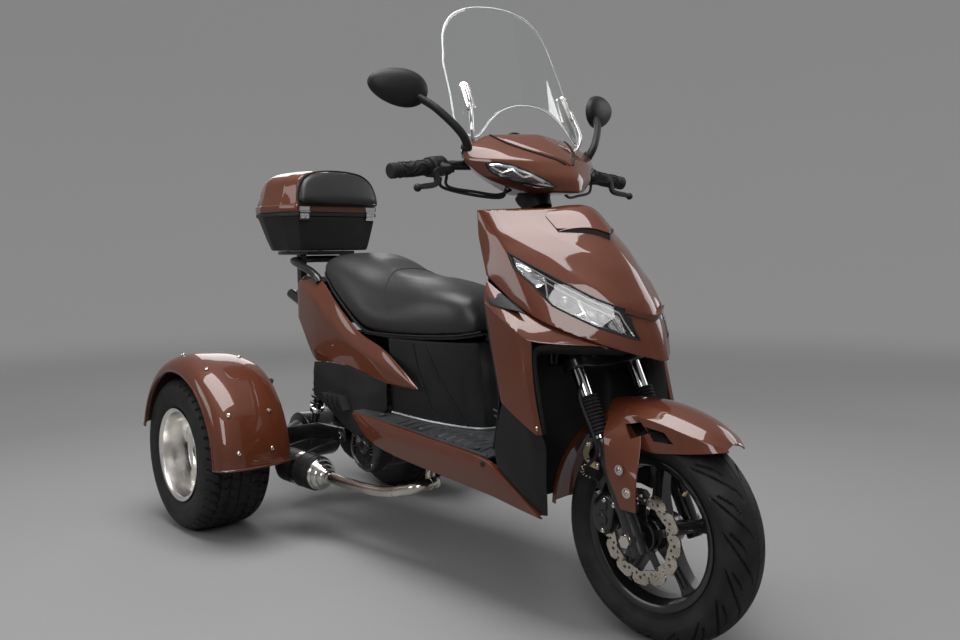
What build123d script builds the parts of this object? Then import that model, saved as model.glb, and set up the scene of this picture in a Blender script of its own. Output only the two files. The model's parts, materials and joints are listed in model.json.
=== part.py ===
"""Three-wheeled scooter: one steered front wheel, two driven rear wheels on a rigid axle.

Frame: +X forward, +Y left, +Z up, millimetres, ground at Z = 0.
The origin is on the ground under the centre of the footprint.
"""
from build123d import *
from math import atan2, cos, degrees, hypot, radians, sin
import os

os.makedirs("parts", exist_ok=True)

# ---------------------------------------------------------------- driving dimensions
WHEELBASE = 1430
FRONT_AXLE_X = 719
REAR_AXLE_X = FRONT_AXLE_X - WHEELBASE

FRONT_TYRE_R = 236
FRONT_TYRE_W = 122
FRONT_FLANGE_R = 163
FRONT_BEAD_R = 152
FRONT_RIM_W = 92

REAR_TYRE_R = 229.5
REAR_TYRE_W = 205
REAR_FLANGE_R = 138.5
REAR_BEAD_R = 127
REAR_RIM_W = 194
REAR_WHEEL_Y = 370

CASTER = 26                    # degrees back from upright
FORK_OFFSET = 38               # fork legs ahead of the steering axis
AXLE_TRAIL = 6                 # front axle behind the line of the legs
LEG_Y = 92                     # half the distance between the fork legs
LEG_R = 19
TUBE_R = 15
BOOT_R = 24
LEG_LOW = -38                 # heights along the steering axis
LEG_TOP = 214.5
BOOT_LOW = 222
YOKE_LOW = 372
YOKE_TOP = 398
BEARING_Z = 420
STEM_TOP = 862

HEAD_TUBE_R = 26
STEM_R = 16
FRAME_R = 15                   # floor and seat rails
DOWN_TUBE_R = 19

WALL = 4                       # moulded panels
SEAM = 0.5                     # gap between two panels
FIT = 0.3                      # gap between a piece and its seat
RUNNING = 6                    # gap between what moves and what stands still

AXLE_R = 7.5
SPINDLE_R = 15
HOSE_R = 3
DISC_R = 102
DISC_T = 4
DISC_Y = 66                    # brake disc, right of the wheel's middle

FLOOR_Z = 404
DECK_SLOPE = 0.058
DECK_T = 6
SEAT_HINGE_X = 196
SEAT_HINGE_Z = 607
BOX_SEAM_Z = 945
BOX_FRONT_X = -540
TAIL_END_X = -540
PLATE_HOLE_Y = 45
PLATE_HOLE_R = 3.25

# ---------------------------------------------------------------- steering frame
_caster = radians(CASTER)
AXIS_BEHIND = FORK_OFFSET - AXLE_TRAIL
STEER = Plane(
    origin=(FRONT_AXLE_X - AXIS_BEHIND * cos(_caster), 0, FRONT_TYRE_R - AXIS_BEHIND * sin(_caster)),
    x_dir=(cos(_caster), 0, sin(_caster)),
    z_dir=(-sin(_caster), 0, cos(_caster)),
)


# ---------------------------------------------------------------- helpers
def block(x, y, z):
    """A box between two corners, each given as (low, high) pairs."""
    middle = Pos((x[0] + x[1]) / 2, (y[0] + y[1]) / 2, (z[0] + z[1]) / 2)
    return middle * Box(x[1] - x[0], y[1] - y[0], z[1] - z[0])


def side_plate(outline, y_low, y_high):
    """A plate with its outline in X and Z, between two Y values."""
    face = make_face(Polyline(*outline, close=True))
    return Pos(0, y_high, 0) * extrude(Plane.XZ * face, amount=y_high - y_low)


def plan_plate(outline, z_low, z_high):
    """A plate with its outline in X and Y, between two heights."""
    face = make_face(Polyline(*outline, close=True))
    return Pos(0, 0, z_low) * extrude(face, amount=z_high - z_low)


def skin(sections):
    """A solid with straight-ruled faces between flat closed sections."""
    wires = [Wire.make_polygon([Vector(*point) for point in section], close=True) for section in sections]
    return Solid.make_loft(wires, ruled=True)


def across(half, z):
    """A closed plan section from half of it, which starts at the rear and ends on the centre line."""
    other = [(x, -y, z) for x, y in reversed(half) if y > 0]
    return [(x, y, z) for x, y in half] + other


def inward(half, wall):
    """A half section moved in by a wall, with its rear left open."""
    moved = [(x - wall * 1.3, max(y - wall, 0)) for x, y in half]
    rear_x, rear_y = half[0]
    return [(rear_x - 40, rear_y - wall), (rear_x, rear_y - wall)] + moved[1:]


def turned(profile, x, z, arc=360):
    """A profile of (radius, y) points turned about a line along Y, from the +X side upwards."""
    face = make_face(Polyline(*[(x + radius, y) for radius, y in profile], close=True))
    return revolve(Pos(0, 0, z) * face, axis=Axis((x, 0, z), (0, -1, 0)), revolution_arc=arc)


def rod(start, end, radius):
    """A round bar between two points."""
    along = Vector(*end) - Vector(*start)
    bar = Pos(0, 0, along.length / 2) * Cylinder(radius, along.length)
    return Plane(origin=start, z_dir=along) * bar


def bent_tube(points, radius, bend):
    """A round tube of straight runs joined by tangent arcs."""
    path = FilletPolyline(*points, radius=bend)
    start = Plane(origin=path @ 0, z_dir=path % 0)
    return sweep(start * Circle(radius), path=path)


def mirrored(shape):
    """The same shape on the other side of the vehicle."""
    return mirror(shape, about=Plane.XZ)


def pair(shape):
    return [shape, mirrored(shape)]


def on_fork(x, y, z, shape):
    """A shape placed in the steering frame."""
    return STEER * Pos(x, y, z) * shape


def save(name, *shapes):
    """Write one node, whose solids lie apart from each other."""
    solids = [solid for shape in shapes for solid in shape.solids()]
    export_step(Compound(solids), f"parts/{name}.step")


# ---------------------------------------------------------------- wheels
def front_wheel():
    x, z = FRONT_AXLE_X, FRONT_TYRE_R
    half = FRONT_TYRE_W / 2
    tread = [(FRONT_FLANGE_R + 1, 42), (FRONT_BEAD_R + 26, half - 4), (FRONT_BEAD_R + 48, half),
             (FRONT_TYRE_R - 20, half - 12), (FRONT_TYRE_R - 4, half - 37), (FRONT_TYRE_R, 0)]
    profile = [(FRONT_BEAD_R, 42)] + tread + [(r, -y) for r, y in reversed(tread[:-1])] + [(FRONT_BEAD_R,
                                                                                            -42)]
    save("front_tyre", turned(profile, x, z))

    lip = FRONT_RIM_W / 2
    ring = turned([(FRONT_FLANGE_R, lip), (FRONT_FLANGE_R, 42 + FIT), (FRONT_BEAD_R - FIT, 42 + FIT),
                   (FRONT_BEAD_R - FIT, -42 - FIT), (FRONT_FLANGE_R, -42 - FIT), (FRONT_FLANGE_R, -lip),
                   (FRONT_BEAD_R - 8, -lip), (FRONT_BEAD_R - 16, -20), (FRONT_BEAD_R - 16, 20),
                   (FRONT_BEAD_R - 8, lip)], x, z)
    hub = Pos(x, 0, z) * Rot(90, 0, 0) * Cylinder(34, 84)
    spoke = skin([[(24, -16, -17), (24, 16, -17), (24, 16, 17), (24, -16, 17)],
                  [(FRONT_BEAD_R - 12, -13, -11), (FRONT_BEAD_R - 12, 13, -11),
                   (FRONT_BEAD_R - 12, 13, 11), (FRONT_BEAD_R - 12, -13, 11)]])
    rim = ring + hub
    for i in range(5):
        rim += Pos(x, 0, z) * Rot(0, 72 * i + 18, 0) * spoke
    rim -= Pos(x, 0, z) * Rot(90, 0, 0) * Cylinder(AXLE_R + 0.2, 100)
    save("front_rim", rim)

    disc = Cylinder(DISC_R, DISC_T) - Cylinder(62, DISC_T)
    carrier = Cylinder(62, DISC_T) - Cylinder(AXLE_R + 5, DISC_T)
    for i in range(12):
        disc -= Rot(0, 0, 30 * i) * Pos(DISC_R - 17, 0, 0) * Cylinder(6.5, DISC_T)
        disc -= Rot(0, 0, 30 * i + 15) * Pos(DISC_R, 0, 0) * Cylinder(6, DISC_T)
    for i in range(5):
        carrier -= Rot(0, 0, 72 * i) * Pos(44, 0, 0) * Cylinder(11, DISC_T)
    carrier += Pos(0, 0, -(DISC_Y - 42) / 2) * (Cylinder(28, DISC_Y - 42) - Cylinder(AXLE_R + 5,
                                                                                     DISC_Y - 42))
    placed = Pos(x, -DISC_Y, z) * Rot(90, 0, 0)
    save("brake_disc", placed * (disc + carrier))


def rear_wheel(side, name):
    """One rear wheel; side is 1 for left and -1 for right."""
    x, z, y = REAR_AXLE_X, REAR_TYRE_R, side * REAR_WHEEL_Y
    half = REAR_TYRE_W / 2
    bead = REAR_RIM_W / 2 - 8
    wall = [(REAR_BEAD_R, bead), (REAR_FLANGE_R + 1, bead), (REAR_FLANGE_R + 18, half - 2),
            (REAR_TYRE_R - 38, half),
            (REAR_TYRE_R - 8, half - 16), (REAR_TYRE_R, half - 42)]
    profile = wall + [(r, -w) for r, w in reversed(wall)]
    save(f"rear_tyre_{name}", turned([(r, y + w) for r, w in profile], x, z))

    lip = REAR_RIM_W / 2
    drum = REAR_BEAD_R - 6
    ring = [(REAR_FLANGE_R, lip), (REAR_FLANGE_R, bead + FIT), (REAR_BEAD_R - FIT, bead + FIT),
            (REAR_BEAD_R - FIT, -bead - FIT), (REAR_FLANGE_R, -bead - FIT), (REAR_FLANGE_R, -lip),
            (drum, -lip), (drum, lip)]
    rim = turned([(r, y + side * w) for r, w in ring], x, z)
    face = [(drum + 2, 24), (96, 16), (70, 32), (20, 36), (20, 20 + FIT), (62, 20 + FIT), (92, 4),
            (drum + 2, 14)]
    rim += turned([(r, y + side * w) for r, w in face], x, z)
    for i in range(5):
        window = skin([[(72, -20, -50), (112, -32, -50), (112, 32, -50), (72, 20, -50)],
                       [(72, -20, 50), (112, -32, 50), (112, 32, 50), (72, 20, 50)]])
        rim -= Pos(x, y + side * 20, z) * Rot(90, 0, 0) * Rot(0, 0, 72 * i + 18) * window
    save(f"rear_rim_{name}", rim)

    hub = turned([(0, y + side * 40), (18, y + side * 40), (18, y + side * 20), (60, y + side * 20),
                  (60, y + side * 8), (76, y + side * 2), (76, y - side * 40), (0, y - side * 40)], x, z)
    hub -= Pos(x, y - side * 20, z) * Rot(90, 0, 0) * Cylinder(SPINDLE_R + FIT, 60)
    save(f"rear_hub_{name}", hub)


# ---------------------------------------------------------------- fork and steering
def fork():
    """Yoke and stem, the sliding tubes with their boots, and the lower legs."""
    yoke = on_fork(0, 0, 0, skin([[(-28, -40, z), (62, -LEG_Y - 24, z), (62, LEG_Y + 24, z), (-28, 40, z)]
                                  for z in (YOKE_LOW, YOKE_TOP)]))
    yoke += on_fork(0, 0, 0, skin([[(-28, -40, z), (14, -LEG_Y - 24, z), (62, -LEG_Y - 24, z), (62, -40, z)]
                                   for z in (YOKE_LOW, YOKE_TOP)]))
    yoke += on_fork(0, 0, (YOKE_TOP + STEM_TOP) / 2, Cylinder(STEM_R, STEM_TOP - YOKE_TOP))
    race = BEARING_Z - FIT - YOKE_TOP
    yoke += on_fork(0, 0, YOKE_TOP + race / 2, Cylinder(24, race))
    tube_low = LEG_TOP + SEAM
    for side in (1, -1):
        yoke += on_fork(FORK_OFFSET, side * LEG_Y, (tube_low + YOKE_LOW) / 2, Cylinder(TUBE_R, YOKE_LOW - tube_low))
    save("fork_yoke", yoke)

    boots = []
    legs = []
    for side in (1, -1):
        y = side * LEG_Y
        folds = [(BOOT_R - 5 * (i % 2), BOOT_LOW + 8 * i) for i in range(12)]
        outline = [(TUBE_R + FIT, BOOT_LOW)] + folds + [(TUBE_R + FIT, BOOT_LOW + 88)]
        boot = revolve(Plane.XZ * make_face(Polyline(*outline, close=True)), axis=Axis.Z)
        boots.append(on_fork(FORK_OFFSET, y, 0, boot))
        leg = on_fork(FORK_OFFSET, y, (LEG_LOW + LEG_TOP) / 2, Cylinder(LEG_R, LEG_TOP - LEG_LOW))
        lug = Pos(FRONT_AXLE_X, y, FRONT_TYRE_R) * Rot(90, 0, 0) * Cylinder(21, 2 * LEG_R - 2)
        leg += lug
        legs.append(leg)
    save("fork_boots", *boots)

    mount = side_plate([(FRONT_AXLE_X - 62, 300), (FRONT_AXLE_X - 20, 296), (FRONT_AXLE_X - 6, 240),
                        (FRONT_AXLE_X - 50, 236)], -LEG_Y - 6, -LEG_Y + 6)
    legs[1] += mount
    axle_bore = Pos(FRONT_AXLE_X, 0, FRONT_TYRE_R) * Rot(90, 0, 0) * Cylinder(AXLE_R, 300)
    legs = [leg - axle_bore for leg in legs]
    save("fork_legs", *legs)

    pin = Cylinder(AXLE_R - 0.1, 2 * (LEG_Y + LEG_R + 6))
    axle = Pos(FRONT_AXLE_X, 0, FRONT_TYRE_R) * Rot(90, 0, 0) * pin
    nuts = [Pos(FRONT_AXLE_X, side * (LEG_Y + LEG_R + 5 + FIT), FRONT_TYRE_R) * Rot(90, 0, 0) *
            extrude(RegularPolygon(14, 6), amount=5, both=True) for side in (1, -1)]
    save("front_axle", axle + nuts[0] + nuts[1])

    caliper_x = FRONT_AXLE_X - 82
    body = block((caliper_x - 30, caliper_x + 24), (-DISC_Y - 24, -DISC_Y + 18),
                 (FRONT_TYRE_R - 8, FRONT_TYRE_R + 78))
    body -= block((caliper_x - 24, caliper_x + 60), (-DISC_Y - 5, -DISC_Y + 5),
                  (FRONT_TYRE_R - 30, FRONT_TYRE_R + 100))
    piston = Pos(caliper_x - 2, -DISC_Y - 28, FRONT_TYRE_R + 36) * Rot(90, 0, 0) * Cylinder(17, 14)
    caliper = (body + piston) - legs[1] - on_fork(FORK_OFFSET, -LEG_Y, 90, Cylinder(LEG_R + FIT, 300))
    caliper -= mount
    save("brake_caliper", caliper.solids().sort_by(SortBy.VOLUME)[-1])


def brake_hose():
    """The upper run goes from the right housing into the nacelle, the lower from the yoke to the caliper."""
    upper = bent_tube([(284, -242, 994), (286, -238, 972), (312, -176, 956), (338, -110, 950),
                       (344, -98, 970)],
                      HOSE_R, [24, 60, 20])
    side = -LEG_Y - 35
    local = [(50, -106, YOKE_LOW - FIT), (50, -106, 338), (50, side, 300), (50, side, 190), (-10, side, 165),
             (-10, -96, 140), (-10, -96, 109)]
    lower = bent_tube([tuple(STEER.from_local_coords(Vector(*point))) for point in local], HOSE_R,
                      [30, 30, 24, 24, 24])
    save("brake_hose", upper, lower)


def front_fender():
    """Shell over the tyre with a beak, two side windows and tabs down to the legs."""
    x, z = FRONT_AXLE_X, FRONT_TYRE_R
    outer = [(252, 67), (264, 65), (271, 42), (276, 0), (271, -42), (264, -65), (252, -67)]
    inner = [(252, -64), (261, -62), (268, -40), (273, 0), (268, 40), (261, 62), (252, 64)]
    shell = turned(outer + inner, x, z, arc=126)
    shell = Pos(x, 0, z) * Rot(0, -50, 0) * Pos(-x, 0, -z) * shell
    nose = skin([[(x + 150, 90, h), (x + 260, 90, h), (x + 260, 0, h), (x + 186, 0, h)] for h in (z,
                                                                                                  z + 300)])
    shell -= nose
    shell -= mirrored(nose)
    for start in (-6, 34):
        window = side_plate([(x + start, z + 252), (x + start + 26, z + 258), (x + start + 20, z + 240),
                             (x + start - 4, z + 236)], -100, -60)
        shell -= window
        shell -= mirrored(window)
    tab = side_plate([(x - 98, z + 262), (x - 20, z + 268), (x - 8, z + 190), (x + 12, z + 70),
                      (x - 6, z + 62),
                      (x - 44, z + 150), (x - 92, z + 220)], -LEG_Y - LEG_R - 4, -LEG_Y - LEG_R - FIT)
    bridge = side_plate([(x - 98, z + 262), (x - 20, z + 268), (x - 22, z + 258), (x - 96, z + 252)],
                        -LEG_Y - LEG_R - 4, -62)
    tab = (tab + bridge) - on_fork(FORK_OFFSET, -LEG_Y, 290, Cylinder(BOOT_R + 1, 180))
    save("front_fender", shell + tab + mirrored(tab))


def handlebar():
    """Bar, grips, levers, nacelle, mirrors, screen and the brake hose."""
    z_bar = STEM_TOP
    clamp_at = STEER.from_local_coords(Vector(0, 0, z_bar))
    inner = (266, -200, 1024)
    end = (281, -372, 1003)
    bar_points = [end, inner, (clamp_at.X - 12, -60, clamp_at.Z + 30), (clamp_at.X - 4, 0, clamp_at.Z + 22)]
    right = bent_tube(bar_points, 11, [60, 30])
    clamp = on_fork(0, 0, z_bar + 8, Cylinder(23, 44))
    clamp += Pos(*clamp_at) * Pos(-4, 0, 22) * Rot(90, 0, 0) * Cylinder(19, 60)
    stem_end = on_fork(0, 0, z_bar - 40, Cylinder(STEM_R, 80))
    save("handlebar", right + mirrored(right) + clamp - stem_end)

    along = Vector(*end) - Vector(*inner)
    direction = along.normalized()
    grip_start = Vector(*inner) + direction * 64
    grip_end = Vector(*end) + direction * 6
    collar_end = grip_start + direction * 6
    grip = rod(tuple(grip_start), tuple(grip_end), 17)
    grip += rod(tuple(grip_start), tuple(collar_end), 22)
    grip -= rod(tuple(grip_start - direction), end, 11 + FIT)
    save("grips", *pair(grip))

    housing_end = grip_start - direction * 1
    housing_start = housing_end - direction * 40
    housing = rod(tuple(housing_start), tuple(housing_end), 24)
    bar_space = rod(tuple(housing_start - direction * 5), tuple(grip_start), 11 + FIT)
    middle = housing_end - direction * 22
    bracket = rod(tuple(middle + Vector(16, 0, -4)), tuple(middle + Vector(44, 0, -10)), 13)
    housing = housing + bracket - bar_space

    pivot = middle + Vector(40, 0, -9)
    lever_points = [tuple(pivot + Vector(7, 6, 0)), tuple(pivot + Vector(16, -36, -4)), (331, -290, 975),
                    (335, -340, 966)]
    lever = bent_tube(lever_points, 6, [20, 30])
    lever += Pos(335, -344, 965) * Sphere(9)
    save("levers", *pair((lever + housing).solids().sort_by(SortBy.VOLUME)[-1]))


def nacelle():
    """Cover round the middle of the bar, with two lamps and a dash."""
    levels = {
        958: [(298, 46), (372, 62), (452, 44), (484, 0)],
        990: [(292, 120), (352, 168), (444, 80), (478, 0)],
        1030: [(278, 172), (332, 214), (420, 92), (446, 0)],
        1062: [(272, 176), (322, 204), (372, 100), (402, 0)],
        1096: [(276, 110), (312, 120), (330, 60), (350, 0)],
    }
    outer = skin([across(half, z) for z, half in levels.items()])
    inner = skin([across([(x - WALL if x > 300 else x - 30, max(y - WALL, 0)) for x, y in half],
                         z + (WALL if z < 970 else -WALL if z > 1090 else 0)) for z, half in levels.items()])
    lamp_outline = [(466, 972), (462, 990), (388, 1030), (346, 1022), (372, 996)]
    lamp_zone = side_plate(lamp_outline, -230, -34)
    lamp_zone += mirrored(lamp_zone)
    deep = skin([across([(x - 22, max(y - 18, 0)) for x, y in half], z) for z, half in levels.items()])
    lamps = (outer & lamp_zone) - deep
    shell = outer - inner - lamp_zone
    around_bar = rod((266, -215, 1024), (300, -40, 1024), 27)
    shell -= around_bar
    shell -= mirrored(around_bar)
    shell -= on_fork(0, 0, 800, Cylinder(STEM_R + FIT, 130))
    save("nacelle", shell.solids().sort_by(SortBy.VOLUME)[-1])
    save("nacelle_lamps", *[s for s in lamps.solids() if s.volume > 2000])

    dash = skin([[(268, -92, 1094), (268, 92, 1094), (252, 84, 1058), (252, -84, 1058)],
                 [(305, -88, 1106), (305, 88, 1106), (290, 80, 1058), (290, -80, 1058)]])
    save("dash", dash - outer)
    return outer


def rear_mirrors(cover):
    stems = []
    heads = []
    for side in (1, -1):
        stem = bent_tube([(318, side * 186, 1040), (330, side * 214, 1086), (300, side * 262, 1140),
                          (262, side * 290, 1172)], 7, [24, 40])
        stems.append((stem - cover).solids().sort_by(SortBy.VOLUME)[-1])
        head = Pos(238, side * 322, 1190) * Rot(side * 8, 0, side * 18) * Rot(0, 90, 0) * \
            extrude(Ellipse(44, 72), amount=26, taper=24)
        heads.append(head - stem)
    save("mirrors", *[stem + head for stem, head in zip(stems, heads)])


def windscreen(cover):
    """A clear sheet rolled about an upright line, with a cut-out over the nacelle."""
    low = (312, 1092)
    top = (178, 1413)
    lean = atan2(low[0] - top[0], top[1] - low[1])
    height = hypot(low[0] - top[0], top[1] - low[1])
    roll = 420
    outline = make_face(Polyline(
        (0, height), (70, height - 10), (128, height - 50), (170, height - 120), (192, height - 200),
        (196, 60), (176, 16), (140, 0), (110, 14), (70, 62), (0, 78),
        (-70, 62), (-110, 14), (-140, 0), (-176, 16), (-196, 60), (-192, height - 200), (-170,
                                                                                         height - 120),
        (-128, height - 50), (-70, height - 10), close=True))
    sheet = Cylinder(roll, height + 20) - Cylinder(roll - 4, height + 20)
    prism = extrude(Plane.YZ * outline, amount=600)
    curved = (Pos(-roll, 0, height / 2) * sheet) & (Pos(-200, 0, 0) * prism)
    placed = Pos(low[0] + 36, 0, low[1]) * Rot(0, -degrees(lean), 0) * curved - cover
    save("windscreen", placed)

    rods = []
    for side in (1, -1):
        post = bent_tube([(292, side * 150, 1044), (318, side * 176, 1096), (300, side * 166, 1160),
                          (276, side * 163, 1206)], 5, [14, 30])
        plate = Pos(285, side * 164, 1180) * Rot(0, -22, 0) * extrude(
            Plane.YZ * SlotOverall(76, 24, rotation=90), amount=7)
        rods.append(((post + plate) - placed - cover).solids().sort_by(SortBy.VOLUME)[-1])
    save("screen_posts", *rods)


# ---------------------------------------------------------------- front body
COWL = {
    590: [(458, 200), (603, 181), (703, 50), (731, 0)],
    655: [(436, 206), (568, 188), (686, 62), (710, 0)],
    720: [(412, 206), (524, 192), (654, 76), (678, 0)],
    790: [(386, 200), (474, 192), (594, 90), (630, 0)],
    862: [(350, 188), (424, 184), (524, 86), (566, 0)],
    922: [(334, 178), (366, 165), (448, 82), (518, 0)],
}
COWL_EDGE = [(250, 861), (396, 773), (488, 712), (562, 676), (659, 629), (800, 565)]   # seen from the side


def below_cowl(drop):
    """Everything under the cowl's lower edge, moved down by drop."""
    return side_plate([(x, z - drop) for x, z in COWL_EDGE] + [(800, 200), (250, 200)], -300, 300)


def above_cowl_edge():
    return side_plate(COWL_EDGE + [(800, 1000), (250, 1000)], -300, 300)


def front_body(frame_keep_out):
    levels = list(COWL.items())
    outer = skin([across(half, z) for z, half in levels])
    inner = skin([across(inward(half, WALL), z - (WALL if z == levels[-1][0] else 0)) for z,
                  half in levels])
    inner += block((150, 500), (-160, 160), (700, 905)) & skin([across(inward(half, WALL), z) for z,
                                                                half in levels])
    lamp_outline = [(447, 826), (538, 776), (623, 727), (668, 706), (697, 642), (631, 672), (560, 713),
                    (514, 757),
                    (468, 794)]
    lamp_zone = side_plate(lamp_outline, -260, -36)
    lamp_zone += mirrored(lamp_zone)
    behind = skin([across(inward([(x - 30, max(y - 24, 0)) for x, y in half], 0), z) for z, half in levels])
    lamps = ((outer & lamp_zone) - behind) - below_cowl(0)
    stem_slot = block((200, 402), (-48, 48), (880, 960))
    cowl = outer - inner - below_cowl(0) - lamp_zone - stem_slot
    save("front_cowl", cowl.solids().sort_by(SortBy.VOLUME)[-1])
    save("headlamps", *[s for s in lamps.solids() if s.volume > 5000])

    slab = above_cowl_edge() & below_cowl(-WALL)
    floor = slab & skin([across([(x - FIT, max(y - FIT, 0)) for x, y in inward(half, WALL)], z) for z,
                         half in levels])
    floor -= side_plate([(200, 900), (404, 900), (404, 600), (200, 600)], -300, 300)
    floor -= frame_keep_out
    save("cowl_floor", floor.solids().sort_by(SortBy.VOLUME)[-1])

    # Side panels: rear edge, fold and front edge at each height, left side.
    edges = {
        638: [(438, 233), (524, 235), (549, 216)],
        519: [(470, 235), (556, 235), (567, 216)],
        440: [(490, 232), (578, 231), (588, 216)],
    }
    shelf = {
        762: [(399, 208), (401, 207), (403, 206), (405, 205)],
        719: [(417, 230), (432, 226), (456, 213), (484, 199)],
        663: [(431, 233), (516, 235), (540, 208), (579, 166)],
        638: [(438, 233), (524, 235), (549, 216), (622, 128)],
    }
    panel = skin([[(x, y, z) for x, y in edge] +
                  [(x, y, z) for x, y in ((edge[2][0] - 2, edge[2][1] - 5),
                                          (edge[1][0] - 3, edge[1][1] - 5),
                                          (edge[0][0], edge[0][1] - 5))] for z, edge in edges.items()])
    top = skin([[(x, y, z) for x, y in edge] + [(x, y - 5, z) for x, y in reversed(edge)]
                for z, edge in shelf.items()])
    panel += top & below_cowl(SEAM)
    panel -= side_plate([(380, 566), (470, 519), (590, 456), (590, 400), (380, 400)], 150, 300)
    save("leg_shield", *pair(panel))

    covers = {
        500: [(486, 228), (558, 227), (570, 215)],
        440: [(446, 224), (560, 221), (586, 210)],
        392: [(420, 212), (540, 210), (572, 200)],
        350: [(432, 208), (530, 204), (562, 192)],
        268: [(538, 184), (550, 182), (557, 177)],
    }
    cover = skin([[(x, y, z) for x, y in edge] +
                  [(x, y, z) for x, y in ((edge[2][0] - 2, edge[2][1] - 5),
                                          (edge[1][0] - 2, edge[1][1] - 5),
                                          (edge[0][0], edge[0][1] - 5))] for z, edge in covers.items()])
    cover &= side_plate([(380, 566 - SEAM), (470, 519 - SEAM), (590, 456 - SEAM), (590, 200), (380, 200)],
                        150, 300)
    sill = skin([[(x, y_out, z_top), (x, y_out - 8, z_top), (x, y_in - 8, z_low), (x, y_in, z_low)]
                 for x, y_out, z_top, y_in, z_low in ((-140, 216, 401, 216, 396), (-47, 216, 395, 218, 324),
                                                      (410, 216, 368, 210, 290), (541, 194, 268, 192,
                                                                                  262))])
    save("sills", *pair(sill))
    cover -= sill
    cover -= Pos(0, -SEAM, 0) * sill
    save("lower_covers", *pair(cover.solids().sort_by(SortBy.VOLUME)[-1]))

    # Wheel well: a channel open to the front and below, widest at its black bezel.
    well = {
        268: [(422, 150), (538, 175)],
        350: [(424, 152), (556, 187)],
        440: [(424, 156), (580, 203.6)],
        520: [(418, 160), (552, 209.6)],
        640: [(408, 166), (546, 205)],
        700: [(404, 167), (500, 184)],
        760: [(400, 168), (450, 184)],
    }
    outside = skin([[(front[0], -front[1], z), (rear[0], -rear[1], z), (rear[0], rear[1], z),
                     (front[0], front[1], z)]
                    for z, (rear, front) in well.items()])
    inside = skin([[(front[0] + 20, -front[1] + WALL, z), (rear[0] + WALL, -rear[1] + WALL, z),
                    (rear[0] + WALL, rear[1] - WALL, z), (front[0] + 20, front[1] - WALL, z)]
                   for z, (rear, front) in well.items()])
    channel = ((outside - inside) & below_cowl(2)) - frame_keep_out
    channel -= on_fork(0, 0, 560, Cylinder(HEAD_TUBE_R + RUNNING, 500))
    save("wheel_well", channel.solids().sort_by(SortBy.VOLUME)[-1])

    # Rider's side of the leg shield, with the rear edges of cowl and side panels along its front.
    shield = {
        905: [(338.5, 174.6), (322, 120), (306, 60), (302, 0)],
        830: [(367, 187.8), (340, 130), (318, 64), (312, 0)],
        773: [(393.5, 196), (352, 136), (328, 66), (322, 0)],
        715: [(412.7, 229), (364, 140), (338, 66), (332, 0)],
        640: [(432.7, 232), (372, 142), (348, 66), (342, 0)],
        519: [(465.7, 233), (384, 142), (358, 66), (352, 0)],
        440: [(441.7, 223), (376, 140), (352, 64), (346, 0)],
        392: [(415.7, 210), (370, 138), (348, 62), (342, 0)],
    }
    rows = []
    for z, half in shield.items():
        rear = [(x, y, z) for x, y in half] + [(x, -y, z) for x, y in reversed(half[:-1])]
        front = [(x + WALL, y, z) for x, y, z in reversed(rear)]
        rows.append(rear + front)
    save("inner_shield", skin(rows) - frame_keep_out - on_fork(0, 0, 700, Cylinder(STEM_R + RUNNING, 500)))


# ---------------------------------------------------------------- frame
def frame():
    rail = [(372, 110, 330), (-130, 110, 330), (-280, 118, 540), (-430, 118, 626), (-640, 112, 697)]
    rails = bent_tube(rail, FRAME_R, [60, 60, 60])
    down_points = [(452, 0, 712), (392, 0, 640), (384, 0, 380), (360, 0, 330)]
    down = bent_tube(down_points, DOWN_TUBE_R, [60, 25])
    head = on_fork(0, 0, 530, Cylinder(HEAD_TUBE_R, 220))
    bore = on_fork(0, 0, 530, Cylinder(STEM_R + FIT, 260))
    cross = [rod((x, -y, z), (x, y, z), FRAME_R - 2) for x, y, z in
             ((360, 110, 330), (190, 110, 330), (20, 110, 330), (-356, 118, 584), (-630, 112, 694))]
    posts = side_plate([(-318, 600), (-282, 560), (-300, 300), (-334, 300)], 112, 120)
    body = rails + mirrored(rails) + down + head + posts + mirrored(posts)
    for tube in cross:
        body += tube
    body += block((-8 + FIT, 20), (-30, 30), (318, 342))
    for side in (1, -1):
        body += rod((-356, side * 118, 584), (-356, side * 161, 584), 8)
        body += rod((-306, side * 118, 440), (-306, side * 164, 440), 8)
        for x in (60, 300):
            body += rod((x, side * 110, 340), (x, side * 110, deck_z(x) - DECK_T - 3 * FIT), 9)
    save("frame", body - bore)
    around = bent_tube(down_points, DOWN_TUBE_R + FIT, [60, 25])
    return around + on_fork(0, 0, 530, Cylinder(HEAD_TUBE_R + FIT, 220 + 2 * FIT))


# ---------------------------------------------------------------- floor, seat base and tail
def deck_z(x):
    """Height of the floor's top, which slopes down to the front."""
    return FLOOR_Z - DECK_SLOPE * (x + 150)


BASE_FOOT = [(-70, 137), (60, 121), (170, 85), (210, 47), (215, 0)]


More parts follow.
